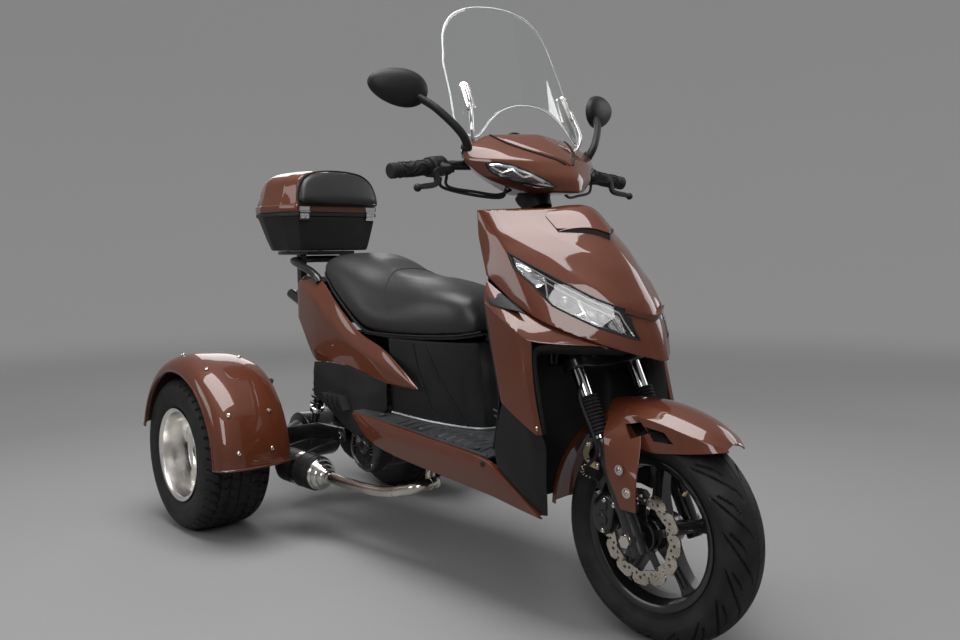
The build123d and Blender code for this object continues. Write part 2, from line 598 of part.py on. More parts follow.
def floor_and_base(frame_keep_out):
    deck = skin([[(x, y, z + dz) for x, y, z in
                  ((-150, -208 + FIT, deck_z(-150)), (-150, 208 - FIT, deck_z(-150)),
                   (400, 208 - FIT, deck_z(400)), (400, -208 + FIT, deck_z(400)))] for dz in (-DECK_T, 0)])
    mat_ribs = [block((x, x + 10), (70, 190), (deck_z(x) - 3, deck_z(x) + 2)) for x in range(20, 320, 40)]
    base_edge = across([(x + 3, y + 3 if y else 0) for x, y in BASE_FOOT], 0)
    base_space = plan_plate([(x, y) for x, y, z in base_edge], 300, 500)
    for rib in [rib - base_space for rib in mat_ribs]:
        deck += rib
        deck += mirrored(rib)
    save("floorboard", deck - frame_keep_out)

    base = {
        376: BASE_FOOT,
        500: [(-70, 142), (60, 126), (168, 88), (205, 50), (211, 0)],
        596: [(-70, 144), (60, 128), (158, 92), (193, 54), (198, 0)],
    }
    outer = skin([across(half, z) for z, half in base.items()])
    hollow = skin([across(inward(half, WALL), z) for z, half in base.items()])
    under_deck = side_plate([(-300, deck_z(-300) + FIT), (300, deck_z(300) + FIT), (300, 300), (-300, 300)],
                            -200, 200)
    barrel = rod((SEAT_HINGE_X, -20, SEAT_HINGE_Z), (SEAT_HINGE_X, 20, SEAT_HINGE_Z), 5)
    barrel += block((SEAT_HINGE_X - 4, SEAT_HINGE_X + 2), (-20, 20), (592, SEAT_HINGE_Z))
    save("seat_base", outer - hollow - under_deck + barrel)

    tub = skin([[(-330, -90, 598), (-330, 90, 598), (168, 56, 598), (168, -56, 598)],
                [(-300, -80, 462), (-300, 80, 462), (146, 48, 462), (146, -48, 462)]])
    tub -= skin([[(-327, -87, 599), (-327, 87, 599), (165, 53, 599), (165, -53, 599)],
                 [(-297, -77, 465), (-297, 77, 465), (143, 45, 465), (143, -45, 465)]])
    flange = plan_plate([(-330, 90), (-70, 90), (-70, 143), (60, 127), (156, 91), (186, 56), (186, -56),
                         (156, -91),
                         (60, -127), (-70, -143), (-70, -90), (-330, -90)], 596 + FIT, 599)
    flange -= plan_plate([(-327, -87), (-327, 87), (165, 53), (165, -53)], 590, 605)
    save("storage_bin", tub + flange)

    stations = [
        (76, (158, 482), (161, 481), (160, 479)),
        (-22, (154, 539), (163, 516), (163, 481)),
        (-68, (153, 562), (165, 528), (165, 484)),
        (-110, (152, 580), (167, 542), (165.5, 491.6)),
        (-184, (152, 598), (168, 564), (166, 505)),
        (-240, (152, 628), (168, 584), (166, 515)),
        (-341, (148, 696), (168, 640), (165, 515)),
        (-397, (140, 738), (165, 676), (161.8, 510.5)),
        (-427, (137, 748), (163, 696), (160, 508)),
        (-476, (132, 752), (156, 716), (155, 562)),
        (TAIL_END_X, (118, 756), (146, 732), (146, 630)),
    ]
    panel = skin([[(x, *top), (x, *mid), (x, *low), (x, low[0] - WALL, low[1]),
                   (x, mid[0] - WALL, mid[1] - 1),
                   (x, top[0] - WALL, top[1] - 3)] for x, top, mid, low in stations])
    save("tail_panels", *pair(panel))

    lower = [
        (-427, (160, 507), (166, 414)),
        (-341, (165, 514), (171, 384)),
        (-240, (166, 514), (178, 340)),
        (-154, (166, 498), (184, 318)),
    ]
    toe = [
        (-154, (166, 498), (174.5, 410)),
        (-72, (150, 483), (152, 410)),
    ]
    cover = skin([[(x, *top), (x, *low), (x, low[0] - WALL, low[1]), (x, top[0] - WALL, top[1])]
                  for x, top, low in lower])
    cover += skin([[(x, *top), (x, *low), (x, low[0] - WALL, low[1]), (x, top[0] - WALL, top[1])]
                   for x, top, low in toe])
    for i in range(4):
        slot = side_plate([(-330 + 26 * i, 430), (-316 + 26 * i, 430), (-290 + 26 * i, 394),
                           (-304 + 26 * i, 394)],
                          140, 200)
        cover -= slot
    save("side_covers", *pair(cover))

    pan = skin([[(428, -120, 263.2), (428, 120, 263.2), (428, 120, 267.2), (428, -120, 267.2)],
                [(10, -150, 290), (10, 150, 290), (10, 150, 294), (10, -150, 294)]])
    save("belly_pan", pan)


def seat():
    sections = [
        (200, 58, 624, 664), (176, 84, 618, 706), (140, 104, 613, 728), (40, 132, 608, 744), (-80, 146, 606,
                                                                                              740),
        (-180, 152, 610, 762), (-240, 152, 640, 790), (-341, 148, 708, 818), (-396, 140, 750, 822),
        (-428, 122, 764, 806),
    ]
    cushion = skin([[(x, -w, low), (x, w, low), (x, w, low + 0.45 * (top - low)), (x, w * 0.86, top - 16),
                     (x, w * 0.5, top), (x, -w * 0.5, top), (x, -w * 0.86, top - 16),
                     (x, -w, low + 0.45 * (top - low))] for x, w, low, top in sections])
    save("seat_cushion", cushion)
    pan_rows = [(x, w - 8, low - 6.3, low - 0.3) for x, w, low, top in sections]
    pan = skin([[(x, -w, a), (x, w, a), (x, w, b), (x, -w, b)] for x, w, a, b in pan_rows])
    for side in (1, -1):
        ends = sorted((side * (20 + FIT), side * 34))
        pan += rod((SEAT_HINGE_X, ends[0], SEAT_HINGE_Z), (SEAT_HINGE_X, ends[1], SEAT_HINGE_Z), 5)
        pan += block((SEAT_HINGE_X - 4, SEAT_HINGE_X + 3), ends, (SEAT_HINGE_Z, 617))
    save("seat_pan", pan)


def top_box():
    floor_z = BOX_SEAM_Z - 117
    # Half outlines in plan, measured back from the front face.
    rim = [(0, 0), (0, 142), (-52, 172), (-160, 180), (-236, 158), (-276, 92), (-282, 0)]
    low = [(-20, 0), (-20, 120), (-60, 138), (-150, 144), (-212, 120), (-240, 72), (-246, 0)]
    shoulder = [(-14, 0), (-14, 128), (-58, 148), (-160, 154), (-220, 132), (-252, 78), (-258, 0)]
    crown = [(-17.4, 0), (-17.4, 100), (-64, 122), (-156, 128), (-200, 104), (-226, 62), (-230, 0)]
    peak = [(-44, 0), (-44, 72), (-82, 90), (-150, 92), (-176, 76), (-192, 46), (-196, 0)]
    band_z = BOX_SEAM_Z + 22
    shoulder_z = BOX_SEAM_Z + 100
    crown_z = BOX_SEAM_Z + 119

    def ring(half, z, inset=0.0):
        middle = -140
        grow = 1 - inset / 140
        points = [(BOX_FRONT_X + middle + (x - middle) * grow, y * grow) for x, y in half]
        return [(x, y, z) for x, y in points] + [(x, -y, z) for x, y in reversed(points) if y > 0]

    base = skin([ring(low, floor_z), ring(rim, BOX_SEAM_Z)])
    base -= skin([ring(low, floor_z + WALL, WALL), ring(rim, BOX_SEAM_Z + 2, WALL)])
    lid = skin([ring(rim, BOX_SEAM_Z + FIT), ring(rim, band_z), ring(shoulder, shoulder_z),
                ring(crown, crown_z),
                ring(peak, crown_z + 10)])
    lid -= skin([ring(rim, BOX_SEAM_Z - 1, WALL), ring(rim, band_z, WALL),
                 ring(shoulder, shoulder_z - 1, WALL),
                 ring(crown, crown_z - WALL, WALL)])
    hinge_x = BOX_FRONT_X + 4.5
    for side in (1, -1):
        fixed = rod((hinge_x, side * 60, BOX_SEAM_Z), (hinge_x, side * 80, BOX_SEAM_Z), 4)
        turning = rod((hinge_x, side * (80 + FIT), BOX_SEAM_Z), (hinge_x, side * 100, BOX_SEAM_Z), 4)
        fixed += block((BOX_FRONT_X - 3, hinge_x), sorted((side * 60, side * 80)),
                       (BOX_SEAM_Z - 4, BOX_SEAM_Z))
        turning += block((BOX_FRONT_X - 3, hinge_x), sorted((side * (80 + FIT), side * 100)),
                         (BOX_SEAM_Z + FIT, BOX_SEAM_Z + 4))
        base += fixed
        lid += turning
        base -= rod((hinge_x, side * 80, BOX_SEAM_Z), (hinge_x, side * (100 + FIT), BOX_SEAM_Z), 4 + FIT)
    save("box_base", base)
    save("box_lid", lid)
    lean = shoulder[0][0] / (shoulder_z - band_z)
    outline = [(136, band_z + 1), (138, band_z + 24), (130, band_z + 58), (112, band_z + 82),
               (78, band_z + 97)]

    def pad_face(forward, inset):
        points = [(y - inset, z + (inset if z < band_z + 2 else -inset * 0.6)) for y, z in outline]
        points = points + [(-y, z) for y, z in reversed(points)]
        return [(BOX_FRONT_X + lean * (z - band_z) + forward, y, z) for y, z in points]

    save("backrest_pad", skin([pad_face(FIT, 0), pad_face(16, 1), pad_face(22, 12)]))

    rail = bent_tube([(-438, 140, 762), (-520, 138, 782), (-612, 118, 799), (-650, 40, 802),
                      (-652, 0, 802)], 13,
                     [60, 40, 40])
    carrier_top = BOX_SEAM_Z - 117 - 0.5
    carrier = block((BOX_FRONT_X - 240, BOX_FRONT_X - 40), (-90, 90), (carrier_top - 12, carrier_top))
    feet = [block((-642, -618), (y - 12, y + 12), (707 + FIT, carrier_top - 11)) for y in (-78, 78)]
    save("grab_rail", rail + mirrored(rail) + carrier + feet[0] + feet[1])


# ---------------------------------------------------------------- engine and rear axle
def power_unit(stay):
    case = side_plate([(-130, 236), (-110, 300), (-160, 380), (-330, 400), (-420, 360), (-430, 236),
                       (-300, 200)],
                      -94, 66)
    fan = Pos(-206, -119, 286) * Rot(90, 0, 0) * Cylinder(72, 54)
    for i in range(12):
        fan -= Pos(-206, -146, 286) * Rot(90, 0, 0) * Rot(0, 0, 30 * i) * Pos(48, 0, 0) * Box(34, 6, 10)
    barrel = block((-112, -8), (-52, 52), (254, 346))
    for i in range(5):
        barrel += block((-104 + 17 * i, -98 + 17 * i), (-66, 66), (240, 360))
    drive = side_plate([(-150, 240), (-146, 320), (-210, 356), (-420, 330), (-500, 320), (-520, 250),
                        (-420, 212),
                        (-190, 204)], 66, 102)
    save("engine", case + fan + barrel + drive)

    y_hub = REAR_WHEEL_Y - 40 - 1
    housing = Pos(REAR_AXLE_X, 0, REAR_TYRE_R) * Rot(90, 0, 0) * Cylinder(32, 2 * y_hub - 24)
    plates = [Pos(REAR_AXLE_X, side * (y_hub - 9), REAR_TYRE_R) * Rot(90, 0, 0) * Cylinder(78,
                                                                                           16) for side in (1, -1)]
    diff = Pos(REAR_AXLE_X, 0, REAR_TYRE_R) * Rot(90, 0, 0) * Cylinder(76, 110)
    arm = side_plate([(REAR_AXLE_X - 30, REAR_TYRE_R + 33), (REAR_AXLE_X + 20, REAR_TYRE_R + 37),
                      (-470, 316),
                      (-322, 322), (-322, 282), (-470, 276), (REAR_AXLE_X + 10, REAR_TYRE_R - 30),
                      (REAR_AXLE_X - 30, REAR_TYRE_R - 26)], 120 + FIT, 137)
    spindle = Pos(REAR_AXLE_X, 0, REAR_TYRE_R) * Rot(90, 0, 0) * Cylinder(SPINDLE_R, 2 * (REAR_WHEEL_Y + 8))
    axle = housing + spindle + plates[0] + plates[1] + diff + arm + mirrored(arm)
    pivot = rod((-318, 137, 302), (-318, 143, 302), 12)
    axle += pivot
    axle += mirrored(pivot)
    save("axle_beam", axle + stay + mirrored(stay))

    arm_top = [(REAR_AXLE_X + 20, REAR_TYRE_R + 37 + FIT), (-470, 316 + FIT)]
    below_arm = side_plate(arm_top + [(-470, 150), (REAR_AXLE_X + 20, 150)], -200, 200)
    springs = []
    for side in (1, -1):
        top = Vector(-404, side * 127, 591)
        low = Vector(-490, side * 127, 312)
        line = (top - low).normalized()
        damper = rod(tuple(low), tuple(top), 9)
        for i in range(9):
            at = low + line * (70 + 20 * i)
            damper += rod(tuple(at), tuple(at + line * 9), 21)
        damper += rod(tuple(low + line * 40), tuple(low + line * 56), 23)
        damper += rod(tuple(low + line * 246), tuple(low + line * 262), 23)
        springs.append(damper - below_arm)
    save("rear_shocks", *springs)


def exhaust():
    pipe = bent_tube([(-46, -30, 239 - FIT), (-45, -31, 200), (40, -80, 224), (92, -128, 238),
                      (80, -176, 232),
                      (-60, -181, 196), (-200, -184, 188), (-300, -190, 190)], 15, [20, 40, 26, 26, 60, 60])
    save("exhaust_pipe", pipe)
    can = Plane(origin=(-300.3, -190, 190), z_dir=(-100, -6, 2)) * revolve(
        Plane.XZ * make_face(Polyline((0, 0), (16, 0), (34, 40), (50, 46), (50, 214), (40, 230), (0, 230),
                                      close=True)),
        axis=Axis.Z)
    save("muffler", can)


def rear_fenders():
    cx = REAR_AXLE_X + 46
    cz = REAR_TYRE_R + 8
    inner_y = REAR_WHEEL_Y - REAR_TYRE_W / 2 - 5.5
    outer = [(20.5, 486), (38.5, 484), (60.5, 446), (66.5, 385), (62.5, 320), (50.5, 276), (40.5, inner_y)]
    inner = [(36.5, inner_y), (46.5, 278), (58.5, 321), (62.5, 385), (56.5, 444), (35.5, 480), (20.5, 482)]
    shell = turned([(REAR_TYRE_R + r, y) for r, y in outer + inner], cx, cz, arc=167)
    save("rear_fenders", *pair(shell))

    reach = REAR_TYRE_R + 38
    stay = side_plate([(REAR_AXLE_X - 30, REAR_TYRE_R + 32)] +
                      [(cx + r * cos(radians(a)), cz + r * sin(radians(a))) for r, a in
                       ((reach, 116), (reach, 111))] +
                      [(REAR_AXLE_X, REAR_TYRE_R + 70)] +
                      [(cx + r * cos(radians(a)), cz + r * sin(radians(a))) for r, a in
                       ((reach, 57), (reach, 52))] + [(REAR_AXLE_X + 34, REAR_TYRE_R + 20)],
                      inner_y - 11.7, inner_y - FIT)
    return stay


def tail():
    front_x = TAIL_END_X - FIT
    lamp = skin([[(front_x, -142, 702), (front_x, 142, 702), (front_x, 130, 748), (front_x, -130, 748)],
                 [(front_x - 30, -96, 702), (front_x - 30, 96, 702), (front_x - 38, 84, 740),
                  (front_x - 38, -84, 740)]])
    save("tail_lamp", lamp)
    plate_x = TAIL_END_X - 9
    bracket = block((plate_x - 3, plate_x + 3), (-60, 60), (600, 702 - FIT))
    for side in (1, -1):
        bracket -= Pos(plate_x, side * PLATE_HOLE_Y, 640) * Rot(0, 90, 0) * Cylinder(PLATE_HOLE_R, 20)
    save("plate_bracket", bracket)


front_wheel()
rear_wheel(1, "left")
rear_wheel(-1, "right")
fork()
front_fender()
brake_hose()
handlebar()
cover = nacelle()
rear_mirrors(cover)
windscreen(cover)
down_tube_space = frame()
front_body(down_tube_space)
floor_and_base(down_tube_space)
seat()
top_box()
power_unit(rear_fenders())
exhaust()
tail()
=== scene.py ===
"""Detailed look of the three-wheeled scooter, in the frame of its CAD model."""
import json
from math import cos, hypot, pi, radians, sin

import bmesh
import bpy
from mathutils import Matrix, Vector
from mathutils.bvhtree import BVHTree


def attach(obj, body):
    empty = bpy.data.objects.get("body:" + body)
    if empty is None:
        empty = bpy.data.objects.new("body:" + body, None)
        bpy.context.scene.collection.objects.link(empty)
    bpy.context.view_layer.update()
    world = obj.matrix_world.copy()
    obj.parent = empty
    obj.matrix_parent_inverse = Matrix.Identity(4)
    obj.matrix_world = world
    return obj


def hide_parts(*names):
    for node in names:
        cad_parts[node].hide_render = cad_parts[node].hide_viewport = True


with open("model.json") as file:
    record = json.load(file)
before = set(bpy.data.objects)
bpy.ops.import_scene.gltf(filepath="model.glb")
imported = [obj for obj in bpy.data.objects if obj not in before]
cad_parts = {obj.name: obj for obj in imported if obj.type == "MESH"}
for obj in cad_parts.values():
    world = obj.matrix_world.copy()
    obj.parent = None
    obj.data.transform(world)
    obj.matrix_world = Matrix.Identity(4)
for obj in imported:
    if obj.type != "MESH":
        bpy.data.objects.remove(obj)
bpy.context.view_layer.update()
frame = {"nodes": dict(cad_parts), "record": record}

MM = 0.001
MERGE = 1e-6
RIM_ANGLE = 50
HOOD_RAY, BAR_RAY = 1.2, 1.3
GLASS_IOR = 1.46
TRIM_WALL, PANEL_WALL, COWL_WALL = 3, 3.5, 4
FLAKE_LIGHT, FLAKE_DARK = (0.156, 0.040, 0.0155), (0.096, 0.0235, 0.009)


# ---------------------------------------------------------------- materials
def node_material(name):
    """An empty shaded material and the parts of its node tree."""
    material = bpy.data.materials.new(name)
    material.use_nodes = True
    nodes = material.node_tree.nodes
    return material, nodes, material.node_tree.links, nodes["Principled BSDF"]


def mix_colour(nodes, links, factor, low, high):
    """A colour between two, by a factor."""
    mix = nodes.new("ShaderNodeMix")
    mix.data_type = "RGBA"
    mix.inputs[6].default_value = (*low, 1)
    mix.inputs[7].default_value = (*high, 1)
    links.new(factor, mix.inputs[0])
    return mix.outputs[2]


def ranged(nodes, links, value, low, high, at_low=0.0, at_high=1.0):
    """A value spread from one range onto another."""
    spread = nodes.new("ShaderNodeMapRange")
    spread.inputs[1].default_value = low
    spread.inputs[2].default_value = high
    spread.inputs[3].default_value = at_low
    spread.inputs[4].default_value = at_high
    links.new(value, spread.inputs[0])
    return spread.outputs[0]


def noise_value(nodes, links, scale, detail=4.0):
    """Cloudy noise in the piece's own coordinates."""
    place = nodes.new("ShaderNodeTexCoord")
    noise = nodes.new("ShaderNodeTexNoise")
    noise.inputs["Scale"].default_value = scale
    noise.inputs["Detail"].default_value = detail
    links.new(place.outputs["Object"], noise.inputs["Vector"])
    return noise.outputs["Fac"]


def cell_value(nodes, links, scale):
    """Distance to the nearest cell point, for grain and flake."""
    place = nodes.new("ShaderNodeTexCoord")
    cells = nodes.new("ShaderNodeTexVoronoi")
    cells.inputs["Scale"].default_value = scale
    links.new(place.outputs["Object"], cells.inputs["Vector"])
    return cells.outputs["Distance"]


def bumped(nodes, links, value, strength, distance, socket):
    """Fine relief on a normal socket."""
    bump = nodes.new("ShaderNodeBump")
    bump.inputs["Strength"].default_value = strength
    bump.inputs["Distance"].default_value = distance
    links.new(value, bump.inputs["Height"])
    links.new(bump.outputs[0], socket)


def finish_of(name, colour, rough, metal=0.0, spread=0.25, grain=900.0, bump=0.0, depth=0.0002,
              patch=9.0, coat=0.0, cells=False, specular=0.5):
    """A surface with patchy tone and roughness, and a fine grain."""
    material, nodes, links, bsdf = node_material(name)
    patchy = noise_value(nodes, links, patch, 6.0)
    low = tuple(c * (1 - spread) for c in colour)
    high = tuple(min(c * (1 + spread), 1) for c in colour)
    links.new(mix_colour(nodes, links, ranged(nodes, links, patchy, 0.35, 0.65), low, high),
              bsdf.inputs["Base Color"])
    fine = cell_value(nodes, links, grain) if cells else noise_value(nodes, links, grain, 3.0)
    links.new(ranged(nodes, links, fine, 0.3, 0.7, rough * 0.85, min(rough * 1.15, 1)),
              bsdf.inputs["Roughness"])
    if bump:
        bumped(nodes, links, fine, bump, depth, bsdf.inputs["Normal"])
    bsdf.inputs["Metallic"].default_value = metal
    bsdf.inputs["Coat Weight"].default_value = coat
    bsdf.inputs["Coat Roughness"].default_value = 0.03
    bsdf.inputs["Specular IOR Level"].default_value = specular
    return material


def paint_of(name):
    """Red-brown base with fine flake under a clear coat."""
    material, nodes, links, bsdf = node_material(name)
    flake = cell_value(nodes, links, 2600.0)
    tone = mix_colour(nodes, links, ranged(nodes, links, flake, 0.0, 0.6), FLAKE_LIGHT, FLAKE_DARK)
    links.new(tone, bsdf.inputs["Base Color"])
    bsdf.inputs["Metallic"].default_value = 0.1
    bsdf.inputs["Specular IOR Level"].default_value = 0.15
    bsdf.inputs["Roughness"].default_value = 0.45
    bsdf.inputs["Coat Weight"].default_value = 1.0
    peel = noise_value(nodes, links, 240.0, 2.0)
    bumped(nodes, links, peel, 0.04, 0.0005, bsdf.inputs["Coat Normal"])
    film = noise_value(nodes, links, 14.0, 5.0)
    links.new(ranged(nodes, links, film, 0.4, 0.7, 0.02, 0.055), bsdf.inputs["Coat Roughness"])
    return material


def clear_of(name, colour=(1, 1, 1), rough=0.02):
    """A clear plastic with a little haze."""
    material, nodes, links, bsdf = node_material(name)
    bsdf.inputs["Base Color"].default_value = (*colour, 1)
    bsdf.inputs["Transmission Weight"].default_value = 1.0
    bsdf.inputs["IOR"].default_value = GLASS_IOR
    haze = noise_value(nodes, links, 18.0, 4.0)
    links.new(ranged(nodes, links, haze, 0.4, 0.7, rough, rough + 0.02), bsdf.inputs["Roughness"])
    return material


PAINT = paint_of("brown_paint")
BLACK = finish_of("black_plastic", (0.010, 0.010, 0.011), 0.5, grain=1400, bump=0.35, depth=0.00012,
                  cells=True, specular=0.28)
DARK = finish_of("dark_plastic", (0.011, 0.0115, 0.0125), 0.5, grain=1100, bump=0.5, depth=0.00015,
                 cells=True, specular=0.28)
RUBBER = finish_of("black_rubber", (0.011, 0.011, 0.012), 0.6, grain=700, bump=0.2, specular=0.28)
TYRE = finish_of("tyre_rubber", (0.013, 0.013, 0.0135), 0.6, spread=0.35, grain=420, bump=0.3, patch=22,
                 specular=0.28)
SATIN = finish_of("black_metal", (0.010, 0.010, 0.011), 0.3, metal=0.2, grain=600, bump=0.1, coat=0.4)
CAST = finish_of("engine_metal", (0.022, 0.022, 0.024), 0.45, metal=0.5, grain=350, bump=0.5, depth=0.0003)
STEEL = finish_of("polished_steel", (0.62, 0.58, 0.52), 0.16, metal=1.0, grain=160, bump=0.05, spread=0.12,
                  patch=14)
ALLOY = finish_of("polished_aluminium", (0.88, 0.86, 0.83), 0.24, metal=1.0, grain=40, spread=0.06)
CHROME = finish_of("chrome", (0.80, 0.80, 0.81), 0.06, metal=1.0, grain=90, spread=0.05)
DISC = finish_of("brake_disc_steel", (0.52, 0.47, 0.40), 0.28, metal=1.0, grain=240, bump=0.15, spread=0.2,
                 patch=26)
GOLD = finish_of("plated_bracket", (0.62, 0.50, 0.30), 0.35, metal=0.8, grain=300, bump=0.2, spread=0.2)
LEATHER = finish_of("black_leather", (0.016, 0.016, 0.017), 0.40, grain=620, bump=0.35, depth=0.00025,
                    cells=True,
                    spread=0.2, patch=5)
MAT = finish_of("floor_rubber", (0.034, 0.035, 0.038), 0.42, grain=500, bump=0.3)
LENS = clear_of("lamp_lens")
ACRYLIC = clear_of("clear_acrylic", (0.97, 0.985, 0.99), 0.01)
SMOKE = finish_of("lamp_housing", (0.02, 0.02, 0.022), 0.25, grain=500, bump=0.1, coat=0.5)
RED = finish_of("red_lens", (0.42, 0.015, 0.012), 0.12, grain=200, bump=0.1, coat=1.0)
MIRROR = finish_of("lamp_reflector", (0.86, 0.87, 0.88), 0.12, metal=1.0, grain=300, spread=0.05)
# Pale opaque finish for the windscreen rim: a painted highlight for the light caught in the acrylic's edge.
EDGE = finish_of("acrylic_edge_painted_highlight", (0.80, 0.83, 0.84), 0.12, grain=300, spread=0.05, coat=1.0)
GLOSS = finish_of("projector_glass", (0.05, 0.055, 0.06), 0.06, grain=200, coat=1.0, metal=0.3)
SILVER = finish_of("silver_print", (0.42, 0.43, 0.45), 0.35, metal=0.4, grain=500, spread=0.1)

SLOT_MATERIAL = {
    "brown_paint": PAINT, "black_plastic": BLACK, "dark_plastic": DARK, "black_rubber": RUBBER,
                 "tyre": TYRE,
    "black_metal": SATIN, "engine_metal": CAST, "polished_steel": STEEL, "polished_aluminium": ALLOY,
    "chrome": CHROME, "lamp_lens": LENS, "red_lens": RED, "clear_acrylic": ACRYLIC,
                 "black_leather": LEATHER,
}
SLOT_OF = {part["node"]: part["material_slot"] for part in frame["record"]["subparts"]}


# ---------------------------------------------------------------- mesh helpers
def cleaned(mesh):
    """Merge doubled points and turn the faces one way."""
    bm = bmesh.new()
    bm.from_mesh(mesh)
    bmesh.ops.remove_doubles(bm, verts=bm.verts, dist=MERGE)
    bmesh.ops.recalc_face_normals(bm, faces=bm.faces)
    bm.to_mesh(mesh)
    bm.free()
    return mesh


def mesh_from(name, points, faces):
    """A clean mesh from points in millimetres."""
    mesh = bpy.data.meshes.new(name)
    mesh.from_pydata([Vector(p) * MM for p in points], [], faces)
    return cleaned(mesh)


def link(name, mesh):
    obj = bpy.data.objects.new(name, mesh)
    bpy.context.scene.collection.objects.link(obj)
    return obj


def bake(obj):
    """Apply every modifier."""
    graph = bpy.context.evaluated_depsgraph_get()
    mesh = bpy.data.meshes.new_from_object(obj.evaluated_get(graph), depsgraph=graph)
    obj.modifiers.clear()
    obj.data = mesh


def dress(obj, material, body, nodes=(), angle=32):
    """Give a finished piece its material, shading, body and the CAD nodes that it stands for."""
    obj.data.materials.clear()
    obj.data.materials.append(material)
    obj.data.shade_smooth()
    obj.data.set_sharp_from_angle(angle=radians(angle))
    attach(obj, body)
    if nodes:
        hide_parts(*nodes)
    return obj


def grid_faces(rows, columns, closed=False, caps=False):
    """Faces between neighbouring rows of points."""
    wide = columns if closed else columns - 1
    faces = [(r * columns + c, r * columns + (c + 1) % columns, (r + 1) * columns + (c + 1) % columns,
              (r + 1) * columns + c) for r in range(rows - 1) for c in range(wide)]
    if caps:
        faces += [tuple(range(columns)), tuple(range((rows - 1) * columns, rows * columns))]
    return faces


def grid(name, rows, closed=False, caps=False):
    """An object through rows of points."""
    faces = grid_faces(len(rows), len(rows[0]), closed, caps)
    return link(name, mesh_from(name, [p for row in rows for p in row], faces))


def subdivided(obj, levels):
    """Smooth a cage by subdivision."""
    smooth = obj.modifiers.new("smooth", "SUBSURF")
    smooth.levels = smooth.render_levels = levels
    smooth.boundary_smooth = "PRESERVE_CORNERS"
    bake(obj)
    return obj


def relaxed(obj, times):
    """Even out a mesh."""
    smooth = obj.modifiers.new("round", "SMOOTH")
    smooth.factor = 0.5
    smooth.iterations = times
    bake(obj)


def cage(name, rows, columns=None, row_creases=None, levels=3, closed=False, caps=False, rim=1.0):
    """A subdivided surface through a grid of points, sharp along the chosen columns and rows."""
    count = len(rows[0])
    columns = columns or {}
    row_creases = row_creases or {}
    mesh = bpy.data.meshes.new(name)
    points = [Vector(p) * MM for row in rows for p in row]
    mesh.from_pydata(points, [], grid_faces(len(rows), count, closed, caps))
    crease = mesh.attributes.new("crease_edge", "FLOAT", "EDGE")
    for edge in mesh.edges:
        a, b = sorted(edge.vertices)
        row_a, col_a = divmod(a, count)
        row_b, col_b = divmod(b, count)
        value = 0.0
        if col_a == col_b:
            value = columns.get(col_a, 0.0)
        elif row_a == row_b:
            value = row_creases.get(row_a, 0.0)
            if caps and row_a in (0, len(rows) - 1):
                value = max(value, rim)
        crease.data[edge.index].value = value
    return subdivided(link(name, cleaned(mesh)), levels)


def solid_cage(name, rows, columns=None, row_creases=None, levels=2, rim=1.0):
    """A subdivided body through closed rings of points, with its two ends filled."""
    return cage(name, rows, columns, row_creases, levels, closed=True, caps=True, rim=rim)


def add_bevel(obj, width, segments, angle):
    soft = obj.modifiers.new("edge", "BEVEL")
    soft.width = width * MM
    soft.segments = segments
    soft.limit_method = "ANGLE"
    soft.angle_limit = radians(angle)


def thicken(obj, wall, outward=False, round_edge=0.8):
    """Give a sheet its wall thickness, inward from the surface, and soften its rim."""
    solid = obj.modifiers.new("wall", "SOLIDIFY")
    solid.thickness = wall * MM
    solid.offset = 1 if outward else -1
    if round_edge:
        add_bevel(obj, round_edge, 2, RIM_ANGLE)
    bake(obj)


def outward_normals(obj, centre):
    """Turn a sheet's faces away from a point."""
    bm = bmesh.new()
    bm.from_mesh(obj.data)
    total = sum((f.normal.dot(f.calc_center_median() - Vector(centre) * MM) for f in bm.faces), 0.0)
    if total < 0:
        bmesh.ops.reverse_faces(bm, faces=bm.faces)
    bm.to_mesh(obj.data)
    bm.free()


def panel_of(name, rows, centre, wall, columns=None, row_creases=None, levels=2, round_edge=0.8,
             outward=False):
    """A curved sheet through a grid of points that faces away from a centre, with its wall and rim."""
    sheet = cage(name, rows, columns, row_creases, levels)
    outward_normals(sheet, centre)
    thicken(sheet, wall, outward, round_edge)
    return sheet


def carve(obj, cutter, operation="DIFFERENCE", keep=False):
    """Cut one piece with another."""
    tool = obj.modifiers.new("cut", "BOOLEAN")
    tool.operation = operation
    tool.object = cutter
    tool.solver = "EXACT"
    bake(obj)
    if not keep:
        bpy.data.objects.remove(cutter)


def prism(name, outline, low, high, axis="y"):
    """A block with an outline in X and Z between two Y values, or in X and Y between two heights."""
    rows = [[(a, end, b) if axis == "y" else (a, b, end) for a, b in outline] for end in (low, high)]
    count = len(outline)
    faces = [tuple(range(count)), tuple(range(count, 2 * count))]
    faces += [(i, (i + 1) % count, count + (i + 1) % count, count + i) for i in range(count)]
    return link(name, mesh_from(name, rows[0] + rows[1], faces))


def soften(obj, width=1.5, segments=3, angle=30):
    """Round the edges of a piece."""
    add_bevel(obj, width, segments, angle)
    bake(obj)


def join(name, objects):
    """One object from several."""
    bm = bmesh.new()
    for obj in objects:
        bm.from_mesh(obj.data)
    mesh = bpy.data.meshes.new(name)
    bm.to_mesh(mesh)
    bm.free()
    for obj in objects:
        bpy.data.objects.remove(obj)
    return link(name, mesh)


def mirrored(obj):
    """A copy on the other side of the vehicle."""
    mesh = obj.data.copy()
    mesh.transform(Matrix.Scale(-1, 4, (0, 1, 0)))
    mesh.flip_normals()
    return link(obj.name + "_left", mesh)


def both(obj):
    """The piece joined with its mirror image."""
    return join(obj.name, [obj, mirrored(obj)])


def whole(points):
    """A half line from the side to the middle, carried on to the other side."""
    return list(points) + [(x, -y, z) for x, y, z in reversed(points[:-1])]


def around(count):
    """The angles of a full turn in equal steps."""
    return [2 * pi * i / count for i in range(count)]


